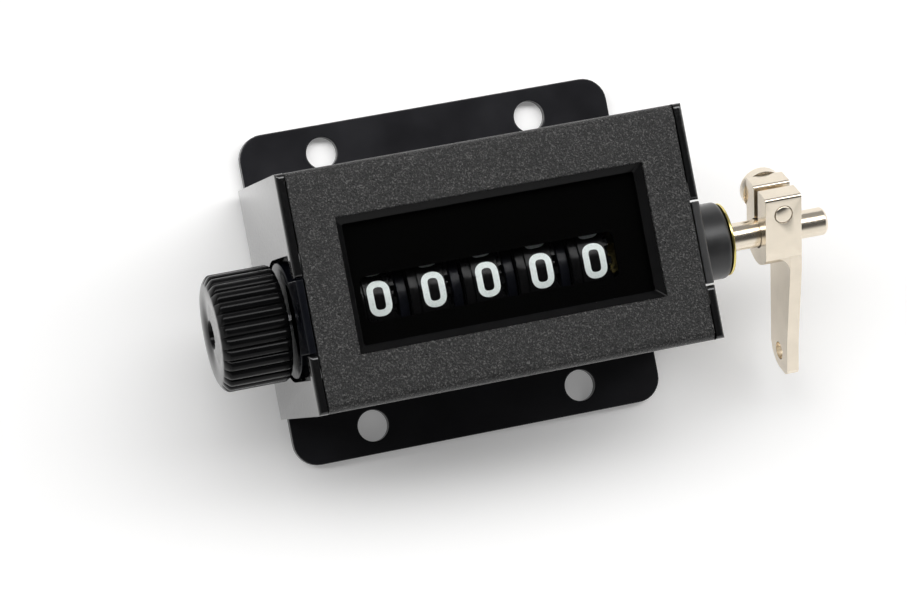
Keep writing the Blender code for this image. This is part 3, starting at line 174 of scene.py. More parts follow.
class TrainSizes(bpy.types.PropertyGroup):
    """Number wheels, figures, carriers and bearings."""

    rim_width: length("Rim width", "Width of a wheel's plain rim", 1.2 * MM)
    rim_radius: length("Rim radius", "Radius of a wheel's plain rim", 8.55 * MM)
    rim_depth: length("Rim depth", "Thickness of the rim, along the radius", 1.2 * MM)
    groove: length("Groove", "Width of the groove beside the rim", 0.12 * MM)
    groove_depth: length("Groove depth", "Depth of the groove under the figure band", 0.6 * MM)
    hub_radius: length("Hub radius", "Radius of a wheel's hub", 3.2 * MM)
    web: length("Web", "Thickness of the web between hub and band", 2.2 * MM)
    band_width: length("Band width", "Width of the figure band", 3.73 * MM)
    figure_radius: length("Figure radius", "Radius of the figure band", 8.7 * MM)
    figure_offset: length("Figure offset", "From the band's left edge to the figures' middle", 1.98 * MM)
    figure_width: length("Figure width", "Outer width of a figure", 3.2 * MM)
    figure_height: length("Figure height", "Outer height of a figure", 4.9 * MM)
    figure_stroke: length("Figure stroke", "Stroke width of a figure", 0.88 * MM)
    figure_round: share("Figure round", "Reach of a figure's corners, in half widths of its line", 1.55)
    figure_shift: FloatVectorProperty(
        name="Figure shift", description="By which each wheel's figures stand high", size=5,
        default=(0.64 * MM, 0.5 * MM, 0.5 * MM, 0.3 * MM, 0.3 * MM), unit="LENGTH", precision=5)
    figure_print: length("Figure print", "By which a figure stands out of its band", 0.02 * MM)
    gear_teeth: IntProperty(name="Gear teeth", description="Teeth of a wheel's gear", default=20)
    gear_tip: length("Gear tip", "Tip radius of a wheel's gear", 8.3 * MM)
    gear_root: length("Gear root", "Root radius of a wheel's gear", 7.0 * MM)
    gear_step: length("Gear step", "From the gear's roots in to the wheel's shoulder", 0.3 * MM)
    gear_inset: length("Gear inset", "From the hub's end back to the gear's", 0.15 * MM)
    gear_ring: length("Gear ring", "From the gear's roots in to its ring's inner face", 0.5 * MM)
    gear_overlap: length("Gear overlap", "Length of the gear within the band", 0.2 * MM)
    gear_edge: length("Gear edge", "Chamfer of the gear's end", 0.08 * MM)
    carrier_radius: length("Carrier radius", "Radius of a carrier round the shaft", 7.5 * MM)
    carrier_eye: length("Carrier eye", "Radius of a carrier round its pinion", 3.4 * MM)
    carrier_foot: length("Carrier foot", "Radius of a carrier round its rod", 2.2 * MM)
    carrier_edge: length("Carrier edge", "Rounding of a carrier's edges", 0.12 * MM)
    disc_radius: length("Disc radius", "Radius of the bearing plates' discs", 8.1 * MM)
    disc_edge: length("Disc edge", "Rounding of the left disc", 0.25 * MM)
    disc_round: length("Disc round", "Rounding of the right disc", 0.35 * MM)
    disc_seat: length("Disc seat", "By which the discs start inside their plates", 0.4 * MM)
    lug_left: length("Left lug", "Width of the left bearing's lug", 10.0 * MM)
    lug_right: length("Right lug", "Width of the right bearing's lug", 11.4 * MM)
    lug_edge: length("Lug edge", "Rounding of a lug's outer front edge", 0.5 * MM)
    lug_start: length("Lug start", "From the shaft to a lug's inner end", 4.5 * MM)
    plate_thickness: length("Plate", "Thickness of the bearing plates", 1.5 * MM)
    plate_corner: length("Plate corner", "Corner radius of the bearing plates", 2.0 * MM)
    plate_drop: length("Plate drop", "From the housing's top to the bearing plates'", 0.8 * MM)
    plate_edge: length("Plate edge", "Rounding of the bearing plates' edges", 0.15 * MM)
    boss_radius: length("Boss radius", "Radius of the right bearing's boss", 5.45 * MM)
    boss_shoulder: length("Boss shoulder", "Rounding of the boss's outer end", 0.7 * MM)
    boss_root: length("Boss root", "Fillet where the boss meets its disc", 0.21 * MM)
    bush_bore: length("Bush bore", "Bore of the brass bush", 2.15 * MM)
    bush_sleeve: length("Bush sleeve", "Outer radius of the brass bush", 3.0 * MM)
    bush_flange: length("Bush flange", "Thickness of the brass bush's flange", 0.38 * MM)
    bush_fit: length("Bush fit", "From the bush's sleeve to the boss round it", 0.15 * MM)


class HandleSizes(bpy.types.PropertyGroup):
    """Reset knob, drive shaft, lever and clamp screw."""

    knob_ribs: IntProperty(name="Knob ribs", description="Ribs round the reset knob", default=28)
    knob_rib: length("Knob rib", "Depth of the knob's ribs", 0.5 * MM)
    knob_hole: length("Knob hole", "Radius of the hole in the knob's end", 1.95 * MM)
    knob_lip: length("Knob lip", "Chamfer of that hole", 0.15 * MM)
    knob_depth: length("Knob depth", "Depth of the hole in the knob's end", 5.6 * MM)
    shaft_chamfer: length("Shaft chamfer", "Chamfer of the drive shaft's end", 0.4 * MM)
    shaft_bore: length("Shaft bore", "Radius of the bore in the drive shaft's inner end", 1.15 * MM)
    shaft_depth: length("Shaft bore depth", "Depth of that bore", 3.0 * MM)
    lever_tilt: turn("Lever tilt", "Angle of the arm from -Y towards the base", 29.7)
    block_half: length("Block half", "Half the width of the clamp block", 3.79 * MM)
    block_top: length("Block top", "From the shaft's axis to the block's top", 6.93 * MM)
    block_nose: length("Block nose", "Radius of the block below the shaft", 4.6 * MM)
    block_corner: length("Block corner", "Rounding of the block's front top edge", 0.5 * MM)
    block_step: length("Block step", "From the block's end to the arm's outer face", 0.01 * MM)
    arm_plate: length("Arm plate", "Thickness of the arm", 1.75 * MM)
    arm_length: length("Arm length", "From the shaft's axis to the arm's end", 22.9 * MM)
    arm_rear: length("Arm rear", "From the shaft's axis to the arm's rear edge", 4.1 * MM)
    arm_front_near: length("Arm front, near", "Front edge of the arm at the block", 3.78 * MM)
    arm_front_far: length("Arm front, far", "Front edge of the arm at its end", 2.37 * MM)
    arm_taper_start: length("Taper start", "Start of the arm's taper", 5.0 * MM)
    arm_taper_end: length("Taper end", "End of the arm's taper", 17.4 * MM)
    arm_fillet: length("Arm fillet", "Fillet between the block and the arm", 2.5 * MM)
    arm_weld: length("Arm weld", "By which the fillet reaches into the arm", 0.3 * MM)
    arm_corner_rear: length("Arm corner, rear", "Rear corner radius of the arm's end", 3.6 * MM)
    arm_corner_front: length("Arm corner, front", "Front corner radius of the arm's end", 1.1 * MM)
    arm_hole: length("Arm hole", "Radius of the hole in the arm", 1.3 * MM)
    arm_hole_at: length("Arm hole place", "From the shaft's axis to the arm's hole", 20.2 * MM)
    arm_hole_rear: length("Arm hole offset", "From the arm's middle to its hole, rearwards", 0.85 * MM)
    clamp_slot: length("Clamp slot", "Width of the clamp slot", 1.42 * MM)
    clamp_bore: length("Clamp bore", "Radius of the lever's bore", 2.15 * MM)
    screw_at: length("Screw place", "From the shaft's axis to the clamp screw", 4.22 * MM)
    screw_radius: length("Screw radius", "Radius of the clamp screw", 1.25 * MM)
    screw_head: length("Screw head", "Radius of the clamp screw's head", 3.1 * MM)
    screw_rise: length("Screw rise", "Height of the clamp screw's head", 1.9 * MM)
    screw_edge: length("Screw edge", "Rounding of the head's edge", 0.6 * MM)
    screw_seat: length("Screw seat", "From the block to the screw's head", 0.15 * MM)
    screw_socket: length("Screw socket", "Half the width of the head's hexagon socket", 1.25 * MM)
    screw_sink: share("Socket depth", "Depth of the socket, to the head's height", 0.6)
    screw_tip: length("Screw tip", "Height of the screw's domed tip", 0.28 * MM)
    screw_play: length("Screw play", "Play of the clamp screw in its bore", 0.1 * MM)
    screw_rim: length("Screw rim", "Rounding of the bore's rim", 0.05 * MM)
    screw_bore: length("Screw bore", "Depth of the bore round the screw's tip", 1.5 * MM)
    metal_edge: length("Metal edge", "Broken edges of the clamp block and arm", 0.18 * MM)


class Finishes(bpy.types.PropertyGroup):
    """Colours and roughness of the finishes."""

    wrinkle: colour("Wrinkle paint", "Textured black paint of the cover", (0.003, 0.003, 0.003))
    # The crests' colour is a painted highlight: lighter specks that stand in for glints of light on the
    # textured paint.
    wrinkle_glint: colour("Wrinkle crests", "Crests of the textured paint", (0.12, 0.118, 0.115))
    wrinkle_grain: length("Wrinkle grain", "Grain of the textured paint", 0.24 * MM)
    lacquer: colour("Lacquer", "Glossy black lacquer of the end frame", (0.004, 0.004, 0.0042))
    lacquer_peel: length("Orange peel", "Size of the lacquer's orange peel", 0.8 * MM)
    enamel: colour("Enamel", "Satin black enamel of the base plate", (0.0105, 0.0105, 0.0122))
    moulding: colour("Moulding", "Black plastic of the knob and wheels", (0.003, 0.003, 0.0032))
    blue_moulding: colour("Bluish moulding", "Bluish black plastic of the left bearing and the carriers",
                          (0.0028, 0.0032, 0.005))
    satin_moulding: colour("Satin moulding", "Duller black plastic of the right bearing",
                           (0.014, 0.014, 0.0145))
    mask: colour("Mask", "Dead black of the mask", (0.001, 0.001, 0.001))
    figure: colour("Figure", "White of the figures", (0.78, 0.85, 0.83))
    nickel: colour("Nickel", "Warm nickel plate of the lever", (0.83, 0.745, 0.62))
    nickel_roughness: share("Nickel roughness", "Roughness of the nickel plate", 0.22)
    steel: colour("Steel", "Plain steel of the rods and pins", (0.52, 0.52, 0.54))
    brass: colour("Brass", "Brass of the bush and the ratchet", (0.74, 0.62, 0.22))


class Stage(bpy.types.PropertyGroup):
    """Camera, floor and light."""

    focal: FloatProperty(name="Focal length", description="Focal length for a 36 mm wide sensor, in mm",
                         default=143.44, min=1.0)
    aim_x: length("Aim, long", "Where the optical axis meets the floor, along X", -0.194 * MM)
    aim_y: length("Aim, across", "Where the optical axis meets the floor, along Y", -4.435 * MM)
    distance: length("Distance", "From the camera to that point", 519.7 * MM)
    lean: turn("Lean", "Lean of the view towards -X", 13.26)
    tip: turn("Tip", "Lean of the view towards -Y", 0.267)
    roll: turn("Roll", "Turn of the camera's up from +Y towards +X", 10.718)
    clip: length("Clip", "Farthest distance that the camera sees", 10.0)
    floor: colour("Floor", "Colour of the floor", (0.93, 0.925, 0.92))
    floor_half: length("Floor half", "Half the floor's width", 1.5)
    floor_gap: length("Floor gap", "From the base plate down to the floor", 0.02 * MM)
    floor_lift: share("Floor lift", "Light that the floor gives to the camera and to reflections", 0.17)
    sky_low: share("Low sky", "Light of the surroundings near the horizon", 0.33)
    sky_high: share("High sky", "Light of the surroundings overhead", 0.06)
    sky_side: share("Sky side", "Half the step, as a sine, of the white that reflections see in front", 0.2)
    sky_edge: share("Sky edge", "Height, as a sine, at which the low sky starts to fade", 0.5)
    sky_fade: share("Sky fade", "Height, as a sine, at which it has faded", 0.8)
    sky_least: share("Sky least", "Least height, as a sine, at which the box is looked up", 0.05)
    box: share("Soft box", "Strength of the soft box overhead", 6.3)
    box_turn: turn("Box turn", "Bearing of the box's long side from +X", -6.0)
    box_along: slope("Box, along", "Middle of the box along its long side", 0.05)
    box_length: slope("Box length", "Half the box's length", 2.4)
    box_fall: slope("Box fall", "Softness of the box's ends", 1.2)
    box_near: slope("Box near edge", "Near long edge of the box", 0.34)
    box_near_blur: slope("Near blur", "Softness of the near edge", 0.05)
    box_far: slope("Box far edge", "Far long edge of the box", 0.75)
    box_far_blur: slope("Far blur", "Softness of the far edge", 0.28)


# ---------------------------------------------------------------- surfaces

def sheet(points, wrap_rows=False, wrap_columns=False, keep=None, start_cap=False, end_cap=False):
    """Points and faces of a grid: a quad for each cell that keep marks, and a polygon over an end row."""
    rows, columns = points.shape[:2]
    index = np.arange(rows * columns).reshape(rows, columns)
    caps = [row for row, wanted in ((index[0], start_cap), (index[-1], end_cap)) if wanted]
    if wrap_rows:
        index = np.vstack((index, index[:1]))
    if wrap_columns:
        index = np.hstack((index, index[:, :1]))
    quads = np.stack((index[:-1, :-1], index[:-1, 1:], index[1:, 1:], index[1:, :-1]), axis=-1)
    quads = quads.reshape(-1, 4) if keep is None else quads[keep]
    return points.reshape(-1, 3), quads, caps


def polygon(points):
    """One flat face through points."""
    return points, np.zeros((0, 4), int), [np.arange(len(points))]


def laid(outline, level, axis):
    """Outline (N, 2) as points (N, 3) at a level along axis 0, 1 or 2."""
    return np.insert(outline, axis, level, axis=1)


def extruded(outline, start, end, axis):
    """Outline carried straight from start to end along an axis, with both ends closed."""
    rows = np.stack((laid(outline, start, axis), laid(outline, end, axis)))
    return sheet(rows, wrap_columns=True, start_cap=True, end_cap=True)


def eased(path, reach, steps=5, closed=False):
    """Path with rounded corners.

    A corner P becomes the parabola (1-s)^2 A + 2 s (1-s) P + s^2 B, for s from 0 to 1, where A and B lie
    at the corner's reach from P towards the points before and after it. An open path keeps its ends.
    """
    path = np.asarray(path, float)
    reach = np.broadcast_to(np.asarray(reach, float), len(path)).copy()
    if not closed:
        reach[[0, -1]] = 0.0
    before = np.roll(path, 1, axis=0) - path
    after = np.roll(path, -1, axis=0) - path
    start = path + before / np.linalg.norm(before, axis=1)[:, None] * reach[:, None]
    end = path + after / np.linalg.norm(after, axis=1)[:, None] * reach[:, None]
    s = np.linspace(0.0, 1.0, steps + 1)[None, :, None]
    bridged = (1 - s) ** 2 * start[:, None] + 2 * s * (1 - s) * path[:, None] + s ** 2 * end[:, None]
    return bridged.reshape(-1, path.shape[1])


def arc(centre, radius, start, end, steps):
    """Points centre + radius (cos t, sin t), for t from start to end degrees."""
    t = np.radians(np.linspace(start, end, steps + 1))
    return np.array(centre) + radius * np.column_stack((np.cos(t), np.sin(t)))


def circle(radius, turns, centre=(0.0, 0.0)):
    """Points of a full circle."""
    return arc(centre, radius, 0.0, 360.0, turns)[:-1]


def rounded_loop(half_x, half_y, radius, steps=6):
    """Rectangle about the origin with quarter-circle corners, anticlockwise from +X."""
    x, y = half_x - radius, half_y - radius
    starts = ((x, -y, -90.0), (x, y, 0.0), (-x, y, 90.0), (-x, -y, 180.0))
    return np.concatenate([arc((p, q), radius, t, t + 90.0, steps) for p, q, t in starts])


def belt(circles, samples):
    """Outline of a band stretched round circles (p, q, radius).

    In each direction it takes the circle that reaches farthest, and that circle's point there.
    """
    t = np.linspace(0.0, 2.0 * np.pi, samples, endpoint=False)
    direction = np.column_stack((np.cos(t), np.sin(t)))
    discs = np.array(circles)
    farthest = np.argmax(direction @ discs[:, :2].T + discs[:, 2], axis=1)
    return discs[farthest, :2] + discs[farthest, 2:] * direction


def around(x, reach, place=(AXIS_Y, AXIS_Z), closed=True):
    """Surface round a line along X through place, with one row for each x and one column for each angle.

    A point is (x, y0 + r cos t, z0 + r sin t), with r from reach and t = 2 pi j / m in column j of m. A
    closed section is a ring; an open one starts and ends at radius 0.
    """
    t = np.linspace(0.0, 2.0 * np.pi, reach.shape[1], endpoint=False)
    along = np.broadcast_to(np.asarray(x)[:, None], reach.shape)
    points = np.stack((along, place[0] + reach * np.cos(t), place[1] + reach * np.sin(t)), axis=-1)
    return sheet(points, wrap_rows=closed, wrap_columns=True)


def turned(profile, turns, place=(AXIS_Y, AXIS_Z), closed=True):
    """Profile of (x, radius) turned about a line along X through place."""
    x, radius = np.asarray(profile, float).T
    return around(x, np.repeat(radius[:, None], turns, axis=1), place, closed)


def placed(part, transform):
    """A part with its points moved by a 4 x 4 matrix."""
    points, quads, caps = part
    matrix = np.array(transform)
    return points @ matrix[:3, :3].T + matrix[:3, 3], quads, caps


def swapped(part, order):
    """A part with its axes taken in another order."""
    points, quads, caps = part
    return points[:, order], quads, caps


# ---------------------------------------------------------------- pieces

def make_piece(name, parts, material, body, nodes=(), edge=0.0, thickness=0.0, sharp=38.0):
    """Object of several parts, merged where they meet, with faces outwards, that rides on a body.

    A thickness gives a sheet a wall behind it, and an edge rounds every edge that turns by more than sharp.
    """
    starts = np.cumsum([0] + [len(points) for points, _, _ in parts])
    quads = np.concatenate([quads + start for (_, quads, _), start in zip(parts, starts)])
    caps = [(cap + start).tolist() for (_, _, part_caps), start in zip(parts, starts) for cap in part_caps]
    mesh = bpy.data.meshes.new(name)
    vertices = np.concatenate([points for points, _, _ in parts])
    mesh.from_pydata(vertices.tolist(), [], quads.tolist() + caps)
    clean = bmesh.new()
    clean.from_mesh(mesh)
    bmesh.ops.remove_doubles(clean, verts=clean.verts, dist=SAME_POINT)
    bmesh.ops.dissolve_degenerate(clean, edges=clean.edges, dist=NO_LENGTH)
    bmesh.ops.recalc_face_normals(clean, faces=clean.faces)
    clean.to_mesh(mesh)
    clean.free()
    mesh.materials.append(material)
    mesh.shade_smooth()
    piece = bpy.data.objects.new(name, mesh)
    bpy.context.scene.collection.objects.link(piece)
    if thickness:
        wall = piece.modifiers.new("wall", "SOLIDIFY")
        wall.thickness = thickness
        wall.offset = -1.0
        wall.use_even_offset = True
    if edge:
        rounding = piece.modifiers.new("edges", "BEVEL")
        rounding.limit_method = "ANGLE"
        rounding.angle_limit = math.radians(sharp)
        rounding.width = edge
        rounding.segments = EDGE_SEGMENTS
        rounding.harden_normals = True
    else:
        mesh.set_sharp_from_angle(angle=math.radians(sharp))
    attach(piece, body)
    if nodes:
        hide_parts(*nodes)
    return piece


def refinish(nodes, material):
    """Gives CAD nodes that stay in view a procedural material."""
    for node in nodes:
        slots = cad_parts[node].data.materials
        slots.clear()
        slots.append(material)


# ---------------------------------------------------------------- finishes

class Wiring:
    """A node tree under construction."""

    def __init__(self, owner):
        owner.use_nodes = True
        self.nodes = owner.node_tree.nodes
        self.links = owner.node_tree.links

    def set(self, node, inputs):
        """Links or sets a node's inputs."""
        for socket, value in inputs.items():
            if isinstance(value, bpy.types.NodeSocket):
                self.links.new(value, node.inputs[socket])
            else:
                node.inputs[socket].default_value = value

    def add(self, kind, inputs=None, **settings):
        """New node with its settings and inputs."""
        node = self.nodes.new(kind)
        for name, value in settings.items():
            setattr(node, name, value)
        self.set(node, inputs or {})
        return node

    def maths(self, operation, *values):
        """Result of an operation on numbers or sockets."""
        return self.add("ShaderNodeMath", dict(enumerate(values)), operation=operation).outputs[0]

    def graded(self, factor, low=0.0, high=1.0, start=0.3, end=0.7, **settings):
        """Number that runs from low to high as factor runs from start to end."""
        inputs = {"Value": factor, "From Min": start, "From Max": end, "To Min": low, "To Max": high}
        return self.add("ShaderNodeMapRange", inputs, **settings).outputs["Result"]

    def stepped(self, place, edge, blur):
        """1 before an edge and 0 after it, or the other way round for a negative blur."""
        start, end, low, high = edge - abs(blur), edge + abs(blur), float(blur > 0.0), float(blur < 0.0)
        return self.graded(place, low, high, start, end, interpolation_type="SMOOTHSTEP")

    def seen(self, *rays):
        """1 for a ray of one of these kinds, else 0."""
        path = self.add("ShaderNodeLightPath").outputs
        kinds = [path[f"Is {ray} Ray"] for ray in rays]
        return functools.reduce(lambda first, second: self.maths("MAXIMUM", first, second), kinds)


class Recipe(Wiring):
    """A material under construction, around its Principled shader."""

    def __init__(self, name, tint, roughness, metallic=0.0, **sockets):
        self.material = bpy.data.materials.new(name)
        super().__init__(self.material)
        self.shader = self.nodes["Principled BSDF"]
        self.set(self.shader, {"Base Color": (*tint, 1.0), "Roughness": roughness, "Metallic": metallic})
        self.set(self.shader, {socket.replace("_", " "): value for socket, value in sockets.items()})
        self.place = self.add("ShaderNodeTexCoord").outputs["Object"]

    def noise(self, size, detail=2.0, roughness=0.5, stretch=(1.0, 1.0, 1.0)):
        """Noise whose features are about size metres, stretched along the axes."""
        place = self.add("ShaderNodeMapping", {"Vector": self.place, "Scale": stretch}).outputs["Vector"]
        inputs = {"Vector": place, "Scale": 1.0 / size, "Detail": detail, "Roughness": roughness}
        return self.add("ShaderNodeTexNoise", inputs).outputs["Fac"]

    def cells(self, size):
        """Distance to the nearest of points spread about size metres apart."""
        inputs = {"Vector": self.place, "Scale": 1.0 / size}
        return self.add("ShaderNodeTexVoronoi", inputs, feature="SMOOTH_F1").outputs["Distance"]

    def mixed(self, factor, first, second):
        """Colour that goes from the first tint to the second as factor goes from 0 to 1."""
        node = self.add("ShaderNodeMix", {"Factor": factor}, data_type="RGBA")
        ends = [socket for socket in node.inputs if socket.type == "RGBA"]
        for socket, tint in zip(ends, (first, second)):
            socket.default_value = (*tint, 1.0)
        return next(socket for socket in node.outputs if socket.type == "RGBA")

    def summed(self, first, second, weight):
        """First number plus weight times the second."""
        return self.maths("MULTIPLY_ADD", second, weight, first)

    def raised(self, height, distance, strength=1.0):
        """Roughens the surface by a height map worth distance metres."""
        inputs = {"Height": height, "Distance": distance, "Strength": strength}
        bump = self.add("ShaderNodeBump", inputs).outputs["Normal"]
        self.set(self.shader, {"Normal": bump})
        return bump


def shade(tint, factor):
    """A tint made lighter or darker."""
    return tuple(value * factor for value in tint)


def finish(name):
    """Decorator for the maker of a finish, which is made once under its name and then shared."""
    def decorate(maker):
        @functools.wraps(maker)
        def shared(finishes):
            return bpy.data.materials.get(name) or maker(name, finishes)
        return shared
    return decorate


@finish("wrinkle_paint")
def wrinkle_paint(name, finishes):
    """Textured black paint: fine crests over a coarser roll, with random specks painted lighter as glints of
    light on the crests.
    """
    recipe = Recipe(name, finishes.wrinkle, 0.5, Specular_IOR_Level=0.36)
    grain = finishes.wrinkle_grain
    fine = recipe.noise(grain, detail=3.0, roughness=0.7)
    roll = recipe.cells(grain * 2.0)
    # Painted highlight: random specks in the crests' lighter colour stand in for glints of light.
    glint_noise = recipe.noise(grain * 0.95, roughness=0.6)
    painted_glint = recipe.graded(glint_noise, start=0.52, end=0.72)
    recipe.set(recipe.shader, {
        "Base Color": recipe.mixed(painted_glint, finishes.wrinkle, finishes.wrinkle_glint),
        "Roughness": recipe.graded(fine, low=0.22, high=0.38),
    })
    recipe.raised(recipe.summed(fine, roll, weight=0.3), distance=0.13 * MM)
    return recipe.material


@finish("gloss_lacquer")
def gloss_lacquer(name, finishes):
    """Glossy black lacquer with an orange peel."""
    recipe = Recipe(name, finishes.lacquer, 0.12, Specular_IOR_Level=0.3, Coat_Weight=1.0,
                    Coat_Roughness=0.04, Coat_IOR=1.4)
    peel = recipe.noise(finishes.lacquer_peel)
    fine = recipe.noise(finishes.lacquer_peel * 0.3)
    recipe.set(recipe.shader, {"Roughness": recipe.graded(fine, low=0.08, high=0.25)})
    bump = recipe.raised(recipe.summed(peel, fine, weight=0.3), distance=0.015 * MM)
    recipe.set(recipe.shader, {"Coat Normal": bump})
    return recipe.material


@finish("satin_enamel")
def satin_enamel(name, finishes):
    """Satin black enamel with a fine roll and a few duller clouds."""
    recipe = Recipe(name, finishes.enamel, 0.2, Specular_IOR_Level=0.35)
    roll = recipe.noise(0.5 * MM, detail=3.0)
    cloud = recipe.noise(9.0 * MM, detail=3.0)
    light = shade(finishes.enamel, 1.7)
    recipe.set(recipe.shader, {
        "Base Color": recipe.mixed(recipe.graded(cloud), finishes.enamel, light),
        "Roughness": recipe.graded(cloud, low=0.16, high=0.24),
    })
    recipe.raised(roll, distance=0.02 * MM, strength=0.5)
    return recipe.material


def moulded_plastic(name, tint, low, high, gloss=0.06):
    """Moulded plastic: a fine grain, slight changes of gloss and a thin shine over them."""
    recipe = Recipe(name, tint, low, Specular_IOR_Level=gloss, Coat_Weight=1.0, Coat_IOR=1.15,
                    Coat_Roughness=low * 0.7)
    grain = recipe.noise(0.12 * MM)
    cloud = recipe.noise(2.5 * MM, detail=3.0)
    recipe.set(recipe.shader, {
        "Base Color": recipe.mixed(recipe.graded(cloud), tint, shade(tint, 1.5)),
        "Roughness": recipe.graded(cloud, low, high),
    })
    recipe.raised(grain, distance=0.01 * MM, strength=0.5)
    return recipe.material


@finish("black_moulding")
def black_moulding(name, finishes):
    """Black plastic of the knob and the wheels."""
    return moulded_plastic(name, finishes.moulding, low=0.13, high=0.24)


@finish("blue_moulding")
def blue_moulding(name, finishes):
    """Bluish black plastic of the left bearing and the carriers."""
    return moulded_plastic(name, finishes.blue_moulding, low=0.26, high=0.38)


@finish("satin_moulding")
def satin_moulding(name, finishes):
    """Duller black plastic of the right bearing."""
    return moulded_plastic(name, finishes.satin_moulding, low=0.36, high=0.46, gloss=0.5)


@finish("mask_flock")
def mask_flock(name, finishes):
    """Dead black flock of the mask."""
    recipe = Recipe(name, finishes.mask, 0.95, Specular_IOR_Level=0.0)
    nap = recipe.noise(0.1 * MM)
    recipe.set(recipe.shader, {"Base Color": recipe.mixed(nap, finishes.mask, shade(finishes.mask, 2.0))})
    recipe.raised(nap, distance=0.02 * MM, strength=0.5)
    return recipe.material


@finish("clear_sheet")
def clear_sheet(name, finishes):
    """Clear sheet that lets light through: transparent, with a mirror that follows the angle of view."""
    recipe = Recipe(name, (1.0, 1.0, 1.0), 0.0)
    recipe.nodes.remove(recipe.shader)
    haze = recipe.graded(recipe.noise(6.0 * MM), low=0.96)
    clear = recipe.add("ShaderNodeBsdfTransparent", {"Color": haze})
    mirror = recipe.add("ShaderNodeBsdfGlossy", {"Roughness": 0.02})
    edge = recipe.add("ShaderNodeFresnel", {"IOR": 1.15})
    both = recipe.add("ShaderNodeMixShader", {0: edge.outputs[0], 1: clear.outputs[0], 2: mirror.outputs[0]})
    output = recipe.nodes["Material Output"]
    recipe.links.new(both.outputs[0], output.inputs["Surface"])
    return recipe.material


@finish("figure_white")
def figure_white(name, finishes):
    """Printed white of the figures, slightly uneven."""
    recipe = Recipe(name, finishes.figure, 0.5)
    wear = recipe.noise(0.35 * MM, detail=3.0)
    cover = recipe.graded(wear, start=0.2, end=0.5)
    thin = shade(finishes.figure, 0.82)
    recipe.set(recipe.shader, {"Base Color": recipe.mixed(cover, thin, finishes.figure)})
    recipe.raised(wear, distance=0.01 * MM, strength=0.4)
    return recipe.material


def plated(name, tint, roughness, streak):
    """Plated or bare metal: fine tool streaks, and faint clouds of duller metal."""
    recipe = Recipe(name, tint, roughness, 1.0)
    streaks = recipe.noise(0.25 * MM, detail=3.0, roughness=0.6, stretch=streak)
    cloud = recipe.noise(3.0 * MM, detail=3.0)
    wear = recipe.summed(cloud, streaks, weight=0.5)
    rough = recipe.graded(wear, low=roughness * 0.85, high=roughness * 1.2, start=0.5, end=1.0)
    recipe.set(recipe.shader, {
        "Base Color": recipe.mixed(recipe.graded(cloud), tint, shade(tint, 0.95)),
        "Roughness": rough,
    })
    recipe.raised(streaks, distance=0.004 * MM, strength=0.5)
    return recipe.material


@finish("nickel_plate")
def nickel_plate(name, finishes):
    """Warm nickel plate over tumbled metal."""
    return plated(name, finishes.nickel, finishes.nickel_roughness, streak=(1.0, 1.0, 1.0))


@finish("turned_nickel")
def turned_nickel(name, finishes):
    """Nickel-plated shaft, with turning marks round it."""
    return plated(name, finishes.nickel, finishes.nickel_roughness, streak=(3.0, 0.15, 0.15))


@finish("plain_steel")
def plain_steel(name, finishes):
    """Drawn steel."""
    return plated(name, finishes.steel, roughness=0.3, streak=(0.2, 1.0, 1.0))


@finish("bright_brass")
def bright_brass(name, finishes):
    """Turned brass."""
    return plated(name, finishes.brass, roughness=0.22, streak=(2.0, 0.3, 0.3))


# ---------------------------------------------------------------- base plate and housing

def pierced_face(half_x, half_y, corner, level, rows):
    """Flat rounded plate at a level, as bands between rows of holes.

    A row is (y, radius, places along X). Each band is one polygon, whose edges along a row go straight from
    side to side but for half circles round the row's holes.
    """
    def seam(y, radius, places, side):
        halves = [arc((x, y), radius, 180.0, 180.0 - side * 180.0, 24) for x in sorted(places)]
        return np.concatenate([[(-half_x, y)], *halves, [(half_x, y)]])

    loop = rounded_loop(half_x, half_y, corner, 8)
    quarter = len(loop) // 4
    bottom_right, top_right, top_left, bottom_left = loop.reshape(4, quarter, 2)
    rows = sorted(rows)
    bands = [np.concatenate((bottom_left, bottom_right, seam(*rows[0], -1.0)[::-1]))]
    bands += [np.concatenate((seam(*low, 1.0), seam(*high, -1.0)[::-1])) for low, high in zip(rows, rows[1:])]
    bands.append(np.concatenate((top_right, top_left, seam(*rows[-1], 1.0))))
    return [polygon(laid(band, level, 2)) for band in bands]


def base_plate_parts(sizes):
    """Plate with screw holes and countersunk rivet holes: a bottom and a top face, a rim and the bores."""
    low, high = corners("base_plate")
    half_x, half_y = high[0], high[1]
    screw_x, screw_y = half_x - sizes.screw_inset_x, half_y - sizes.screw_inset_y
    rivet_low, rivet_high = corners("base_rivet_4")
    rivet = (rivet_low + rivet_high) / 2.0
    wide = (rivet_high[0] - rivet_low[0]) / 2.0
    narrow = wide * sizes.rivet_neck
    parts = []
    for level, rivet_radius in ((low[2], wide), (high[2], narrow)):
        rows = [(side * screw_y, sizes.screw_hole, (-screw_x, screw_x)) for side in (-1.0, 1.0)]
        rows += [(side * rivet[1], rivet_radius, (-rivet[0], rivet[0])) for side in (-1.0, 1.0)]
        parts += pierced_face(half_x, half_y, sizes.base_corner, level, rows)
    loop = rounded_loop(half_x, half_y, sizes.base_corner, 8)
    y = np.array([-screw_y, -rivet[1], rivet[1], screw_y])
    right = np.column_stack((np.full(4, half_x), y))
    left = np.column_stack((np.full(4, -half_x), y[::-1]))
    quarter = len(loop) // 4
    rim = np.concatenate((loop[:quarter], right, loop[quarter:3 * quarter], left, loop[3 * quarter:]))
    parts.append(sheet(np.stack((laid(rim, low[2], 2), laid(rim, high[2], 2))), wrap_columns=True))
    for x, side in ((-1.0, -1.0), (-1.0, 1.0), (1.0, -1.0), (1.0, 1.0)):
        for below, above, place in ((sizes.screw_hole, sizes.screw_hole, (x * screw_x, side * screw_y)),
                                    (wide, narrow, (x * rivet[0], side * rivet[1]))):
            bore = (laid(circle(below, SMALL_TURNS, place), low[2], 2),
                    laid(circle(above, SMALL_TURNS, place), high[2], 2))
            parts.append(sheet(np.stack(bore), wrap_columns=True))
    return parts


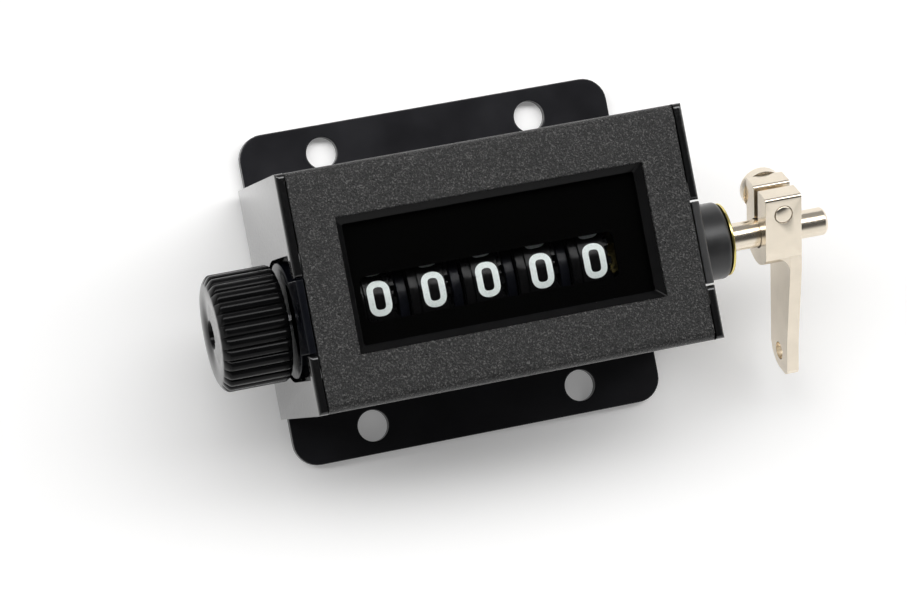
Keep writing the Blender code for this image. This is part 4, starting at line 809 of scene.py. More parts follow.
def rivet_parts(node, sizes):
    """Rivet: a flat countersunk head, a shank and an upset dome, turned about its own axis."""
    low, high = corners(node)
    middle = (low + high) / 2.0
    head = (high[0] - low[0]) / 2.0
    shank, upset = head * sizes.rivet_shank, head * sizes.rivet_upset
    seat = high[2] - sizes.rivet_dome
    t = np.linspace(0.0, np.pi / 2.0, 7)
    dome = np.column_stack((seat + sizes.rivet_dome * np.sin(t), upset * np.cos(t)))
    reach = np.array((0.0, 0.1, 0.1, 0.0, 0.0)) * MM
    foot = [(low[2], 0.0), (low[2], head), (low[2] + sizes.rivet_sink, shank), (seat, shank), (seat, upset)]
    profile = np.concatenate((eased(foot, reach, 3), dome))
    part = turned(profile, SMALL_TURNS, (0.0, 0.0), closed=False)
    return [placed(swapped(part, [1, 2, 0]), Matrix.Translation((middle[0], middle[1], 0.0)))]


def wall_parts(side, sizes, lug_width, floor_level):
    """End wall: its outline in (y, z), with the slot, carried through the sheet in layers.

    In each layer the outline is cut off at the height of the nose, z = top - r (1 - sin t), at the depth
    r (1 - cos t) behind the outer face.
    """
    high = corners("shell_frame")[1]
    half = high[1]
    mouth = lug_width / 2.0 + sizes.tongue_gap
    lip = high[2] - sizes.tongue
    slot = sizes.slot_radius
    rise = [(-half, floor_level), (-half, high[2]), (AXIS_Y - mouth, high[2]), (AXIS_Y - mouth, lip),
            (AXIS_Y - slot, lip), (AXIS_Y - slot, AXIS_Z)]
    reach = [0.0, sizes.wall_corner, sizes.tongue_corner, sizes.tongue_root, sizes.slot_shoulder, 0.0]
    first = eased(rise, reach, 6)
    fall = [(AXIS_Y + slot, AXIS_Z), (AXIS_Y + slot, lip), (AXIS_Y + mouth, lip), (AXIS_Y + mouth, high[2]),
            (half, high[2]), (half, floor_level)]
    last = eased(fall, reach[::-1], 6)
    round_end = arc((AXIS_Y, AXIS_Z), slot, 180.0, 360.0, 48)[1:-1]
    outline = np.concatenate((first, round_end, last))
    t = np.linspace(0.0, np.pi / 2.0, 9)
    depth = np.append(sizes.wall_nose * (1.0 - np.cos(t)), sizes.wall)
    top = np.append(high[2] - sizes.wall_nose * (1.0 - np.sin(t)), high[2])
    x = side * (high[0] - depth)
    z = np.minimum(outline[None, :, 1], top[:, None])
    y = np.broadcast_to(outline[None, :, 0], z.shape)
    layers = np.stack((np.broadcast_to(x[:, None], z.shape), y, z), axis=-1)
    return [sheet(layers, start_cap=True, end_cap=True)]


def end_frame_parts(sizes, train):
    """Folded frame: a floor between two bends, and the two end walls that stand on the bends.

    The floor is narrower than the walls, so that the cover's sides pass it.
    """
    low, high = corners("shell_frame")
    bend, inner = sizes.floor_bend, sizes.inner_bend
    level = low[2] + bend
    wall_inner = high[0] - sizes.wall
    centre = (high[0] - bend, level)
    past = math.degrees(math.acos((wall_inner - centre[0]) / bend))
    outside = arc(centre, bend, 0.0, -past, 8)
    below = arc(centre, bend, -past, -90.0, 3)
    corner = arc((wall_inner - inner, low[2] + sizes.wall + inner), inner, 0.0, -90.0, 8)
    half = high[1]
    floor_half = half - sizes.cover_sheet - sizes.cover_fit
    floor = np.concatenate((below, below[::-1] * (-1.0, 1.0), corner * (-1.0, 1.0), corner[::-1]))
    parts = [extruded(floor, -floor_half, floor_half, 1)]
    for side, lug in ((-1.0, train.lug_left), (1.0, train.lug_right)):
        path = np.concatenate((outside, [(wall_inner, level)])) * (side, 1.0)
        rows = np.stack((laid(path, -half, 1), laid(path, half, 1)))
        parts.append(sheet(rows, start_cap=True, end_cap=True))
        parts += wall_parts(side, sizes, lug, level)
    return parts


def cover_parts(sizes):
    """Outer face of the cover: a path up one side, over two round bends and down the other, swept along X.

    The cell of the window is left out.
    """
    low, high = corners("cover")
    bend, half, top = sizes.cover_bend, high[1], high[2]
    window = corners("window_bezel")[1] - sizes.bezel_flange
    first = arc((half - bend, top - bend), bend, 0.0, 90.0, 10)
    quarter = np.concatenate(([(half, low[2])], first, [(window[1], top)]))
    path = np.concatenate((quarter * (-1.0, 1.0), quarter[::-1]))
    x = np.array([-high[0], -window[0], window[0], high[0]])
    points = np.empty((len(path), len(x), 3))
    points[..., 0] = x
    points[..., 1:] = path[:, None, :]
    keep = np.ones((len(path) - 1, len(x) - 1), bool)
    keep[len(quarter) - 1, 1] = False
    return [sheet(points, keep=keep)]


def bezel_parts(sizes):
    """Bezel: its section carried round the window, as rounded rectangles that grow with the section."""
    low, high = corners("window_bezel")
    half = high - sizes.bezel_flange
    step, fit = sizes.bezel_step, sizes.bezel_fit
    reach = np.array((0.1, 0.12, 0.02, 0.1, 0.1)) * MM
    section = eased([
        (-step, low[2]), (-step, high[2] - sizes.bezel_slope), (fit, high[2]),
        (sizes.bezel_flange, high[2]), (sizes.bezel_flange, low[2]),
    ], reach, 3, closed=True)
    rows = []
    for grow, level in section:
        radius = sizes.bezel_corner + max(grow, 0.0) * sizes.bezel_spread
        rows.append(laid(rounded_loop(half[0] + grow, half[1] + grow, radius, 4), level, 2))
    return [sheet(np.stack(rows), wrap_rows=True, wrap_columns=True)]


def mask_parts(sizes):
    """Mask: a thin rounded rectangle whose section runs back, front, and in to the slot's loop."""
    low, high = corners("digit_mask")
    plate = rounded_loop(high[0], high[1], sizes.mask_corner)
    half_x, half_y = (sizes.slot_right - sizes.slot_left) / 2.0, (sizes.slot_high - sizes.slot_low) / 2.0
    middle = (sizes.slot_left + half_x, sizes.slot_low + half_y)
    slot = rounded_loop(half_x, half_y, sizes.slot_corner) + middle
    section = ((plate, low[2]), (plate, high[2]), (slot, high[2]), (slot, low[2]))
    rows = [laid(loop, level, 2) for loop, level in section]
    return [sheet(np.stack(rows), wrap_rows=True, wrap_columns=True)]


# ---------------------------------------------------------------- bearings

def bearing_plate(node, sizes):
    """Bearing plate that fills the housing's section."""
    low, high = corners(node)
    side = 1.0 if high[0] > 0.0 else -1.0
    inner = min(abs(low[0]), abs(high[0]))
    half_z = (HOUSING_TOP - sizes.plate_drop - low[2]) / 2.0
    outline = rounded_loop(high[1], half_z, sizes.plate_corner) + (0.0, low[2] + half_z)
    return extruded(outline, side * inner, side * (inner + sizes.plate_thickness), 0)


def bearing_lug(side, outer, width, sizes, wall_inner):
    """Lug along the housing's end, with a round outer front edge."""
    edge = sizes.lug_edge
    start = AXIS_Z + sizes.lug_start
    front = arc((outer - edge, HOUSING_TOP - edge), edge, 0.0, 90.0, 8)
    outline = np.concatenate(([(wall_inner, start), (outer, start)], front, [(wall_inner, HOUSING_TOP)]))
    return extruded(outline * (side, 1.0), AXIS_Y - width / 2.0, AXIS_Y + width / 2.0, 1)


def left_bearing_parts(sizes, housing):
    """Plate, round-edged disc and lug at the knob's end."""
    low, high = corners("mech_plate_left")
    edge, radius, seat = sizes.disc_edge, sizes.disc_radius, high[0] - sizes.disc_seat
    rim = arc((low[0] + edge, radius - edge), edge, 180.0, 90.0, 8)
    disc = np.concatenate(([(seat, RESET_BORE), (low[0], RESET_BORE)], rim, [(seat, radius)]))
    return [
        bearing_plate("mech_plate_left", sizes),
        turned(disc, LARGE_TURNS),
        bearing_lug(-1.0, -low[0], sizes.lug_left, sizes, WALL_OUTER - housing.wall),
    ]


def right_bearing_parts(sizes, housing):
    """Plate, disc, lug and boss at the lever's end."""
    low, high = corners("mech_plate_right")
    bore, seat = sizes.bush_sleeve + sizes.bush_fit, low[0] + sizes.disc_seat
    section = eased([
        (seat, bore), (seat, sizes.disc_radius), (WALL_OUTER, sizes.disc_radius),
        (WALL_OUTER, sizes.boss_radius), (high[0], sizes.boss_radius), (high[0], bore),
    ], [0.0, 0.0, sizes.disc_round, sizes.boss_root, sizes.boss_shoulder, 0.0], 8, closed=True)
    return [
        bearing_plate("mech_plate_right", sizes),
        turned(section, LARGE_TURNS),
        bearing_lug(1.0, WALL_OUTER, sizes.lug_right, sizes, WALL_OUTER - housing.wall),
    ]


def bush_parts(sizes):
    """Brass bush: a sleeve in the boss, and a flange on its end."""
    low, high = corners("bearing_bush")
    flange = high[0] - sizes.bush_flange
    edge = (high[1] - low[1]) / 2.0
    reach = np.array((0.1, 0.1, 0.0, 0.1, 0.16, 0.2)) * MM
    section = eased([
        (low[0], sizes.bush_bore), (low[0], sizes.bush_sleeve), (flange, sizes.bush_sleeve), (flange, edge),
        (high[0], edge), (high[0], sizes.bush_bore),
    ], reach, 4, closed=True)
    return [turned(section, LARGE_TURNS)]


# ---------------------------------------------------------------- counting train

def figure_middle(number, sizes):
    """Place along X of the figures of wheel 1 to 5."""
    low, _ = corners(f"number_wheel_{number}")
    return low[0] + sizes.rim_width + sizes.groove + sizes.figure_offset


def wheel_parts(number, sizes):
    """Number wheel: a turned rim, groove, figure band and hub, and a toothed ring.

    The ring's outline is r = root + (tip - root) T(t), with T the larger of two waves that are clipped to
    0 and 1: the teeth, 0.5 + 1.5 cos(n t), and 0.3 of the low ribs between them, -3 - 4.5 cos(n t).
    """
    low, high = corners(f"number_wheel_{number}")
    hub, inner = sizes.hub_radius, sizes.rim_radius - sizes.rim_depth
    groove = low[0] + sizes.rim_width
    left = groove + sizes.groove
    right = left + sizes.band_width
    web = right - sizes.web
    band, bed = sizes.figure_radius, sizes.figure_radius - sizes.groove_depth
    step, face = sizes.gear_root - sizes.gear_step, high[0] - sizes.gear_inset
    reach = np.array((0.05, 0.1, 0.3, 0.3, 0.1, 0.12, 0.04, 0.0, 0.0, 0.05, 0.1, *(0.05,) * 5)) * MM
    section = eased([
        (low[0], RESET_BORE), (low[0], hub), (web, hub), (web, inner), (low[0], inner),
        (low[0], sizes.rim_radius), (groove, sizes.rim_radius), (groove, bed), (left, bed), (left, band),
        (right, band), (right, step), (face, step), (face, hub), (high[0], hub), (high[0], RESET_BORE),
    ], reach, 3, closed=True)
    t = np.linspace(0.0, 2.0 * np.pi, sizes.gear_teeth * 16, endpoint=False)
    teeth = np.clip(0.5 + 1.5 * np.cos(sizes.gear_teeth * t), 0.0, 1.0)
    ribs = 0.3 * np.clip(-3.0 - 4.5 * np.cos(sizes.gear_teeth * t), 0.0, 1.0)
    outer = sizes.gear_root + (sizes.gear_tip - sizes.gear_root) * np.maximum(teeth, ribs)
    inside = np.full_like(t, sizes.gear_root - sizes.gear_ring)
    start, edge = right - sizes.gear_overlap, sizes.gear_edge
    rows = [(start, inside), (start, outer), (face - edge, outer), (face, outer - edge), (face, inside)]
    gear = around([place for place, _ in rows], np.stack([radii for _, radii in rows]))
    return [turned(section, WHEEL_TURNS), gear]


# Strokes of the figures, each with its corners in a square from -1 to 1, and whether it closes on itself.
FIGURES = {
    0: [([(-1, -1), (1, -1), (1, 1), (-1, 1)], True)],
    1: [([(-0.5, 0.62), (0.12, 1), (0.12, -1)], False)],
    2: [([(-1, 0.5), (-1, 1), (1, 1), (1, 0.1), (-1, -0.55), (-1, -1), (1, -1)], False)],
    3: [([(-1, 0.55), (-1, 1), (1, 1), (1, 0.06), (-0.35, 0.06)], False),
        ([(-0.35, 0.06), (1, 0.06), (1, -1), (-1, -1), (-1, -0.55)], False)],
    4: [([(0.5, -1), (0.5, 1), (-1, -0.45), (1.1, -0.45)], False)],
    5: [([(0.95, 1), (-0.95, 1), (-0.95, 0.12), (1, 0.12), (1, -1), (-1, -1), (-1, -0.6)], False)],
    6: [([(0.95, 0.6), (0.95, 1), (-1, 1), (-1, -1), (1, -1), (1, 0.12), (-0.95, 0.12)], False)],
    7: [([(-1, 1), (1, 1), (-0.3, -1)], False)],
    8: [([(-1, -1), (1, -1), (1, 0.04), (-1, 0.04)], True),
        ([(-0.9, 0.04), (0.9, 0.04), (0.9, 1), (-0.9, 1)], True)],
    9: [([(-1, -0.38), (-1, -0.87), (1, -0.87), (1, 1), (-1, 1), (-1, -0.04), (0.95, -0.04)], False)],
}


def figure_line(corner_points, closed, most):
    """Centre line of one stroke, in even steps.

    A corner is eased by most, or by half the shorter side beside it.
    """
    side = np.linalg.norm(np.roll(corner_points, -1, axis=0) - corner_points, axis=1)
    line = eased(corner_points, np.minimum(most, 0.5 * np.minimum(side, np.roll(side, 1))), 8, closed)
    if closed:
        line = np.concatenate((line, line[:1]))
    along = np.concatenate(([0.0], np.cumsum(np.linalg.norm(np.diff(line, axis=0), axis=1))))
    even = np.linspace(0.0, along[-1], int(along[-1] / FIGURE_STEP) + 1)
    line = np.column_stack([np.interp(even, along, part) for part in line.T])
    return line[:-1] if closed else line


def drum_band(line, closed, middle, shift, figure, sizes):
    """One stroke of a figure, as a thin band wrapped round the wheel.

    Its edges lie half a stroke to each side of its line. A flat point (u, v) goes to
    (x0 + u, y0 + r sin a, z0 + r cos a), with a = (v + shift) / R less 36 degrees times the figure.
    """
    if closed:
        ahead = np.roll(line, -1, axis=0) - np.roll(line, 1, axis=0)
    else:
        ahead = np.gradient(line, axis=0)
    across = np.column_stack((-ahead[:, 1], ahead[:, 0])) / np.linalg.norm(ahead, axis=1)[:, None]
    sides = np.array([1.0, 0.0, -1.0, -1.0, 1.0]) * sizes.figure_stroke / 2.0
    radius = sizes.figure_radius + np.array([1.0, 1.0, 1.0, -4.0, -4.0]) * sizes.figure_print
    flat = line[:, None, :] + across[:, None, :] * sides[:, None]
    a = (flat[..., 1] + shift) / sizes.figure_radius - FIGURE_PITCH * figure
    y, z = AXIS_Y + radius * np.sin(a), AXIS_Z + radius * np.cos(a)
    points = np.stack((middle + flat[..., 0], y, z), axis=-1)
    return sheet(points, wrap_rows=closed, wrap_columns=True, start_cap=not closed, end_cap=not closed)


def figure_parts(number, sizes):
    """Figures 0 to 9 of one wheel."""
    middle, shift = figure_middle(number, sizes), sizes.figure_shift[number - 1]
    scale = np.array((sizes.figure_width, sizes.figure_height)) / 2.0 - sizes.figure_stroke / 2.0
    parts = []
    for figure, strokes in FIGURES.items():
        for corner_points, closed in strokes:
            line = figure_line(np.array(corner_points, float) * scale, closed, sizes.figure_round * scale[0])
            parts.append(drum_band(line, closed, middle, shift, figure, sizes))
    return parts


def carrier_parts(number, sizes):
    """Carrier between two wheels: a band round the shaft, the pinion and the rod."""
    low, high = corners(f"pinion_carrier_{number}")
    pinion, rod = sum(corners("pinion_shaft")) / 2.0, sum(corners("carrier_rod")) / 2.0
    outline = belt([
        (AXIS_Y, AXIS_Z, sizes.carrier_radius),
        (pinion[1], pinion[2], sizes.carrier_eye),
        (rod[1], rod[2], sizes.carrier_foot),
    ], 144)
    return [extruded(outline, low[0], high[0], 0)]


# ---------------------------------------------------------------- knob, shaft, lever and screw

# Rounding of the knob's two ends, in millimetres: the distance from the end, the distance under the crests
# of the ribs, and the share of the ribs' depth that is cut there.
KNOB_FRONT = ((0.0, 1.45, 0.0), (0.02, 1.15, 0.12), (0.12, 0.9, 0.3), (0.35, 0.55, 0.6), (0.62, 0.2, 0.85),
              (0.9, 0.03, 1.0), (1.35, 0.0, 1.0))
KNOB_BACK = ((0.825, 0.0, 1.0), (0.55, 0.03, 1.0), (0.275, 0.2, 0.8), (0.05, 0.55, 0.4), (0.0, 0.8, 0.0))


def knob_parts(sizes):
    """Knob: its section turned about the shaft, with ribs that fade over its ends.

    The radius is R(s) - d(s) (1 - |cos(n t / 2)|^0.6), with R the section, d the ribs' depth and n ribs.
    """
    low, high = corners("reset_knob")
    radius = (high[1] - low[1]) / 2.0
    end, rear = low[0], high[0]
    seat, hole, lip = end + sizes.knob_depth, sizes.knob_hole, sizes.knob_lip
    socket = [(seat, RESET_BORE, 0.0), (seat, hole, 0.0), (end + lip, hole, 0.0), (end, hole + lip, 0.0)]
    front = [(end + back * MM, radius - under * MM, cut) for back, under, cut in KNOB_FRONT]
    behind = [(rear - ahead * MM, radius - under * MM, cut) for ahead, under, cut in KNOB_BACK]
    x, reach, cut = np.array([*socket, *front, *behind, (rear, RESET_BORE, 0.0)]).T
    t = np.linspace(0.0, 2.0 * np.pi, sizes.knob_ribs * 20, endpoint=False)
    wave = np.abs(np.cos(sizes.knob_ribs * t / 2.0)) ** 0.6
    return [around(x, reach[:, None] - sizes.knob_rib * cut[:, None] * (1.0 - wave))]


def shaft_parts(sizes):
    """Drive shaft, with a bore in its inner end and a chamfer on its outer one."""
    low, high = corners("drive_shaft")
    radius = (high[1] - low[1]) / 2.0
    bore, chamfer = sizes.shaft_bore, sizes.shaft_chamfer
    depth = low[0] + sizes.shaft_depth
    reach = np.array((0.0, 0.0, 0.1, 0.15, 0.12, 0.12, 0.0)) * MM
    section = eased([
        (depth, 0.0), (depth, bore), (low[0], bore), (low[0], radius),
        (high[0] - chamfer, radius), (high[0], radius - chamfer), (high[0], 0.0),
    ], reach, 4)
    return [turned(section, LARGE_TURNS, closed=False)]


def lever_place(sizes):
    """Matrix from the lever's own frame, with Z down its arm and Y towards its front, to the housing's."""
    tilt = Matrix.Rotation(math.radians(90.0) + sizes.lever_tilt, 4, "X")
    return Matrix.Translation((0.0, AXIS_Y, AXIS_Z)) @ tilt


def block_parts(sizes, left, right):
    """Clamp block: an outline that runs round the block, down the slot, about the bore and up again.

    The front side is two faces round the clamp screw's bore, which has a slightly rounded rim.
    """
    half, top, bore, level = sizes.block_half, sizes.block_top, sizes.clamp_bore, -sizes.screw_at
    gap = sizes.clamp_slot / 2.0
    corner = math.degrees(math.acos(half / sizes.block_nose))
    opening = math.degrees(math.asin(gap / bore))
    round_edge = sizes.block_corner
    front = arc((half - round_edge, -top + round_edge), round_edge, -90.0, 0.0, 6)
    nose = arc((0.0, 0.0), sizes.block_nose, corner, 180.0 - corner, 24)
    rear = arc((-gap - round_edge, -top + round_edge), round_edge, -90.0, 0.0, 6)
    inside = arc((0.0, 0.0), bore, -90.0 - opening, -450.0 + opening, 48)
    outline = np.concatenate(([(gap, -top)], front, [(half, level)], nose, [(-half, -top)], rear, inside))
    rows = np.stack((laid(outline, left, 0), laid(outline, right, 0)))
    keep = np.ones((1, len(outline)), bool)
    keep[0, len(front):len(front) + 2] = False
    block = sheet(rows, wrap_columns=True, keep=keep, start_cap=True, end_cap=True)
    middle, radius, rim = (left + right) / 2.0, sizes.screw_radius + sizes.screw_play, sizes.screw_rim
    over = arc((middle, level), radius + rim, 0.0, -180.0, 24)
    under = arc((middle, level), radius + rim, 180.0, 0.0, 24)
    edge, foot = front[-1, 1], nose[0, 1]
    above = np.concatenate(([(left, level), (left, edge), (right, edge), (right, level)], over))
    beneath = np.concatenate(([(right, level), (right, foot), (left, foot), (left, level)], under))
    faces = [polygon(laid(face, half, 1)) for face in (above, beneath)]
    t = np.radians([0.0, 30.0, 60.0, 90.0])
    rings = [(radius + rim * (1.0 - math.sin(a)), half - rim * (1.0 - math.cos(a))) for a in t]
    rings.append((radius, half - sizes.screw_bore))
    walls = [laid(circle(reach, SMALL_TURNS, (middle, level)), y, 1) for reach, y in rings]
    return [block, *faces, sheet(np.stack(walls), wrap_columns=True, end_cap=True)]


def arm_outline(sizes):
    """Side of the arm below the shaft: its front, its round end, its rear, and the bore between them."""
    half, tip = sizes.block_half, sizes.arm_length
    rear, far = sizes.arm_rear, sizes.arm_front_far
    rear_corner, front_corner = sizes.arm_corner_rear, sizes.arm_corner_front
    ahead = [(half, 0.0), (sizes.arm_front_near, sizes.arm_taper_start), (far, sizes.arm_taper_end)]
    front_end = arc((far - front_corner, tip - front_corner), front_corner, 0.0, 90.0, 12)
    rear_end = arc((-rear + rear_corner, tip - rear_corner), rear_corner, 90.0, 180.0, 24)
    behind = [(-rear, sizes.arm_taper_start), (-half, 0.0)]
    bore = arc((0.0, 0.0), sizes.clamp_bore, 180.0, 0.0, 24)
    return np.array(ahead), np.concatenate((front_end, rear_end)), np.array(behind), bore


def arm_parts(sizes, left, right):
    """Arm: its rim and the hole's wall carried through the plate, and two faces on each side of it.

    The faces meet along the line across the arm through the middle of its hole.
    """
    front, end, rear, bore = arm_outline(sizes)
    level = sizes.arm_hole_at
    hole_y = -sizes.arm_hole_rear
    split_front, split_rear = (front[-1][0], level), (-sizes.arm_rear, level)
    lower = end[end[:, 1] > level]
    near_hole = arc((hole_y, level), sizes.arm_hole, 0.0, -180.0, 24)
    far_hole = arc((hole_y, level), sizes.arm_hole, 180.0, 0.0, 24)
    near = np.concatenate((front, [split_front], near_hole, [split_rear], rear, bore))
    far = np.concatenate(([split_front], lower, [split_rear], far_hole))
    rim = np.concatenate((front, [split_front], lower, [split_rear], rear, bore))
    hole = circle(sizes.arm_hole, SMALL_TURNS, (hole_y, level))
    parts = [polygon(laid(face, x, 0)) for face in (near, far) for x in (left, right)]
    for loop in (rim, hole):
        parts.append(sheet(np.stack((laid(loop, left, 0), laid(loop, right, 0))), wrap_columns=True))
    return parts


def fillet_part(sizes, wall):
    """Concave fillet between the block's end and the arm."""
    start = sizes.block_nose * math.sin(math.acos(sizes.block_half / sizes.block_nose))
    radius = sizes.arm_fillet
    curve = arc((wall - radius, start + radius), radius, -90.0, 0.0, 16)
    inner, base = wall + sizes.arm_weld, start - 2.0 * sizes.arm_weld
    inside = [(inner, start + radius), (inner, base), (wall - radius, base)]
    half = sizes.block_half - FACE_STEP
    return extruded(np.concatenate((curve, inside)), -half, half, 1)


def lever_parts(sizes):
    """Lever: clamp block, arm with its hole, and the fillet between them."""
    low, high = corners("lever")
    wall = high[0] - sizes.arm_plate
    parts = block_parts(sizes, low[0], high[0] - sizes.block_step)
    parts += [*arm_parts(sizes, wall, high[0]), fillet_part(sizes, wall)]
    return [placed(part, lever_place(sizes)) for part in parts]


def screw_parts(sizes):
    """Clamp screw: a round-edged head with a hexagon socket at the rear, and a domed tip in front.

    The socket's reach is h / cos(t - 30 degrees) within each 60 degrees, with h half its width.
    """
    middle = sum(corners("lever"))[0] / 2.0
    seat = -sizes.block_half - sizes.screw_seat
    rear = seat - sizes.screw_rise
    bottom = rear + sizes.screw_rise * sizes.screw_sink
    t = np.linspace(0.0, 2.0 * np.pi, 72, endpoint=False)
    socket = sizes.screw_socket / np.cos(np.mod(t, np.pi / 3.0) - np.pi / 6.0)
    rows = [(bottom, 0.0 * t), (bottom, socket), (rear, socket)]
    head, round_edge = sizes.screw_head, sizes.screw_edge
    edge = arc((rear + round_edge, head - round_edge), round_edge, 180.0, 90.0, 8)
    dome = np.radians(np.linspace(0.0, 90.0, 9))
    foot = sizes.block_half - FACE_STEP
    tip = np.column_stack((foot + sizes.screw_tip * np.sin(dome), sizes.screw_radius * np.cos(dome)))
    section = np.concatenate((edge, [(seat, head), (seat, sizes.screw_radius)], tip))
    rows += [(x, np.full_like(t, radius)) for x, radius in section]
    part = around([x for x, _ in rows], np.stack([reach for _, reach in rows]), (0.0, 0.0), closed=False)
    at_block = placed(swapped(part, [1, 0, 2]), Matrix.Translation((middle, 0.0, -sizes.screw_at)))
    return [placed(at_block, lever_place(sizes))]


# ---------------------------------------------------------------- operators

class PieceOperator:
    """What the operators share: undo, and the way to the property groups."""

    bl_options = {"REGISTER", "UNDO"}

    def groups(self, context, *names):
        """The scene's finishes, after its property groups of these names."""
        return [getattr(context.scene, f"counter_{name}") for name in (*names, "finishes")]


class COUNTER_OT_base_plate(PieceOperator, bpy.types.Operator):
    """Makes the base plate with its screw holes"""

    bl_idname = "counter.base_plate"
    bl_label = "Base plate"

    def execute(self, context):
        housing, finishes = self.groups(context, "housing")
        make_piece("base_plate_dress", base_plate_parts(housing), satin_enamel(finishes), "housing",
                   ["base_plate"], edge=housing.sheet_edge)
        return {"FINISHED"}


class COUNTER_OT_rivets(PieceOperator, bpy.types.Operator):
    """Makes the four rivets that hold the frame on the base plate"""

    bl_idname = "counter.rivets"
    bl_label = "Rivets"

    def execute(self, context):
        housing, finishes = self.groups(context, "housing")
        for number in range(1, 5):
            node = f"base_rivet_{number}"
            make_piece(f"rivet_{number}", rivet_parts(node, housing), satin_enamel(finishes), "housing",
                       [node])
        return {"FINISHED"}


class COUNTER_OT_end_frame(PieceOperator, bpy.types.Operator):
    """Makes the folded frame with its two slotted end walls"""

    bl_idname = "counter.end_frame"
    bl_label = "End frame"

    def execute(self, context):
        housing, train, finishes = self.groups(context, "housing", "train")
        make_piece("end_frame", end_frame_parts(housing, train), gloss_lacquer(finishes), "housing",
                   ["shell_frame"], edge=housing.frame_edge)
        return {"FINISHED"}


class COUNTER_OT_cover(PieceOperator, bpy.types.Operator):
    """Makes the bent cover in textured paint"""

    bl_idname = "counter.cover"
    bl_label = "Cover"

    def execute(self, context):
        housing, finishes = self.groups(context, "housing")
        make_piece("cover_dress", cover_parts(housing), wrinkle_paint(finishes), "housing", ["cover"],
                   edge=housing.cover_edge, thickness=housing.cover_sheet)
        return {"FINISHED"}


class COUNTER_OT_window(PieceOperator, bpy.types.Operator):
    """Makes the window's bezel and its mask, and finishes its clear sheet"""

    bl_idname = "counter.window"
    bl_label = "Window"

    def execute(self, context):
        housing, finishes = self.groups(context, "housing")
        make_piece("bezel_dress", bezel_parts(housing), black_moulding(finishes), "housing", ["window_bezel"])
        refinish(["window_lens"], clear_sheet(finishes))
        make_piece("mask_dress", mask_parts(housing), mask_flock(finishes), "housing", ["digit_mask"])
        return {"FINISHED"}


class COUNTER_OT_bearings(PieceOperator, bpy.types.Operator):
    """Makes the two bearing plates and the brass bush"""

    bl_idname = "counter.bearings"
    bl_label = "Bearings"

    def execute(self, context):
        housing, train, finishes = self.groups(context, "housing", "train")
        make_piece("left_bearing", left_bearing_parts(train, housing), blue_moulding(finishes), "housing",
                   ["mech_plate_left"], edge=train.plate_edge)
        make_piece("right_bearing", right_bearing_parts(train, housing), satin_moulding(finishes), "housing",
                   ["mech_plate_right"], edge=train.plate_edge)
        make_piece("brass_bush", bush_parts(train), bright_brass(finishes), "housing", ["bearing_bush"])
        return {"FINISHED"}


class COUNTER_OT_number_wheels(PieceOperator, bpy.types.Operator):
    """Makes the five number wheels"""

    bl_idname = "counter.number_wheels"
    bl_label = "Number wheels"

    def execute(self, context):
        train, finishes = self.groups(context, "train")
        for number, (node, body) in enumerate(zip(WHEELS, WHEEL_BODIES), start=1):
            make_piece(f"wheel_{number}_dress", wheel_parts(number, train), black_moulding(finishes), body,
                       [node])
        return {"FINISHED"}


class COUNTER_OT_figures(PieceOperator, bpy.types.Operator):
    """Makes the figures 0 to 9 on each number wheel"""

    bl_idname = "counter.figures"
    bl_label = "Figures"

    def execute(self, context):
        train, finishes = self.groups(context, "train")
        for number, body in enumerate(WHEEL_BODIES, start=1):
            make_piece(f"figures_{number}", figure_parts(number, train), figure_white(finishes), body)
        return {"FINISHED"}


class COUNTER_OT_carriers(PieceOperator, bpy.types.Operator):
    """Makes the four pinion carriers between the wheels"""

    bl_idname = "counter.carriers"
    bl_label = "Carriers"

    def execute(self, context):
        train, finishes = self.groups(context, "train")
        for number in range(1, 5):
            make_piece(f"carrier_{number}", carrier_parts(number, train), blue_moulding(finishes), "housing",
                       [f"pinion_carrier_{number}"], edge=train.carrier_edge)
        return {"FINISHED"}


class COUNTER_OT_knob(PieceOperator, bpy.types.Operator):
    """Makes the ribbed reset knob"""

    bl_idname = "counter.knob"
    bl_label = "Reset knob"

    def execute(self, context):
        handles, finishes = self.groups(context, "handles")
        make_piece("ribbed_knob", knob_parts(handles), black_moulding(finishes), "reset", ["reset_knob"],
                   sharp=60.0)
        return {"FINISHED"}


class COUNTER_OT_drive_shaft(PieceOperator, bpy.types.Operator):
    """Makes the lever's shaft"""

    bl_idname = "counter.drive_shaft"
    bl_label = "Drive shaft"

    def execute(self, context):
        handles, finishes = self.groups(context, "handles")
        make_piece("lever_shaft", shaft_parts(handles), turned_nickel(finishes), "stroke_lever",
                   ["drive_shaft"])
        return {"FINISHED"}


class COUNTER_OT_lever(PieceOperator, bpy.types.Operator):
    """Makes the clamp lever"""

    bl_idname = "counter.lever"
    bl_label = "Lever"

    def execute(self, context):
        handles, finishes = self.groups(context, "handles")
        make_piece("clamp_lever", lever_parts(handles), nickel_plate(finishes), "stroke_lever", ["lever"],
                   edge=handles.metal_edge)
        return {"FINISHED"}


class COUNTER_OT_clamp_screw(PieceOperator, bpy.types.Operator):
    """Makes the lever's clamp screw"""

    bl_idname = "counter.clamp_screw"
    bl_label = "Clamp screw"

    def execute(self, context):
        handles, finishes = self.groups(context, "handles")
        make_piece("domed_screw", screw_parts(handles), nickel_plate(finishes), "stroke_lever",
                   ["clamp_screw"])
        return {"FINISHED"}


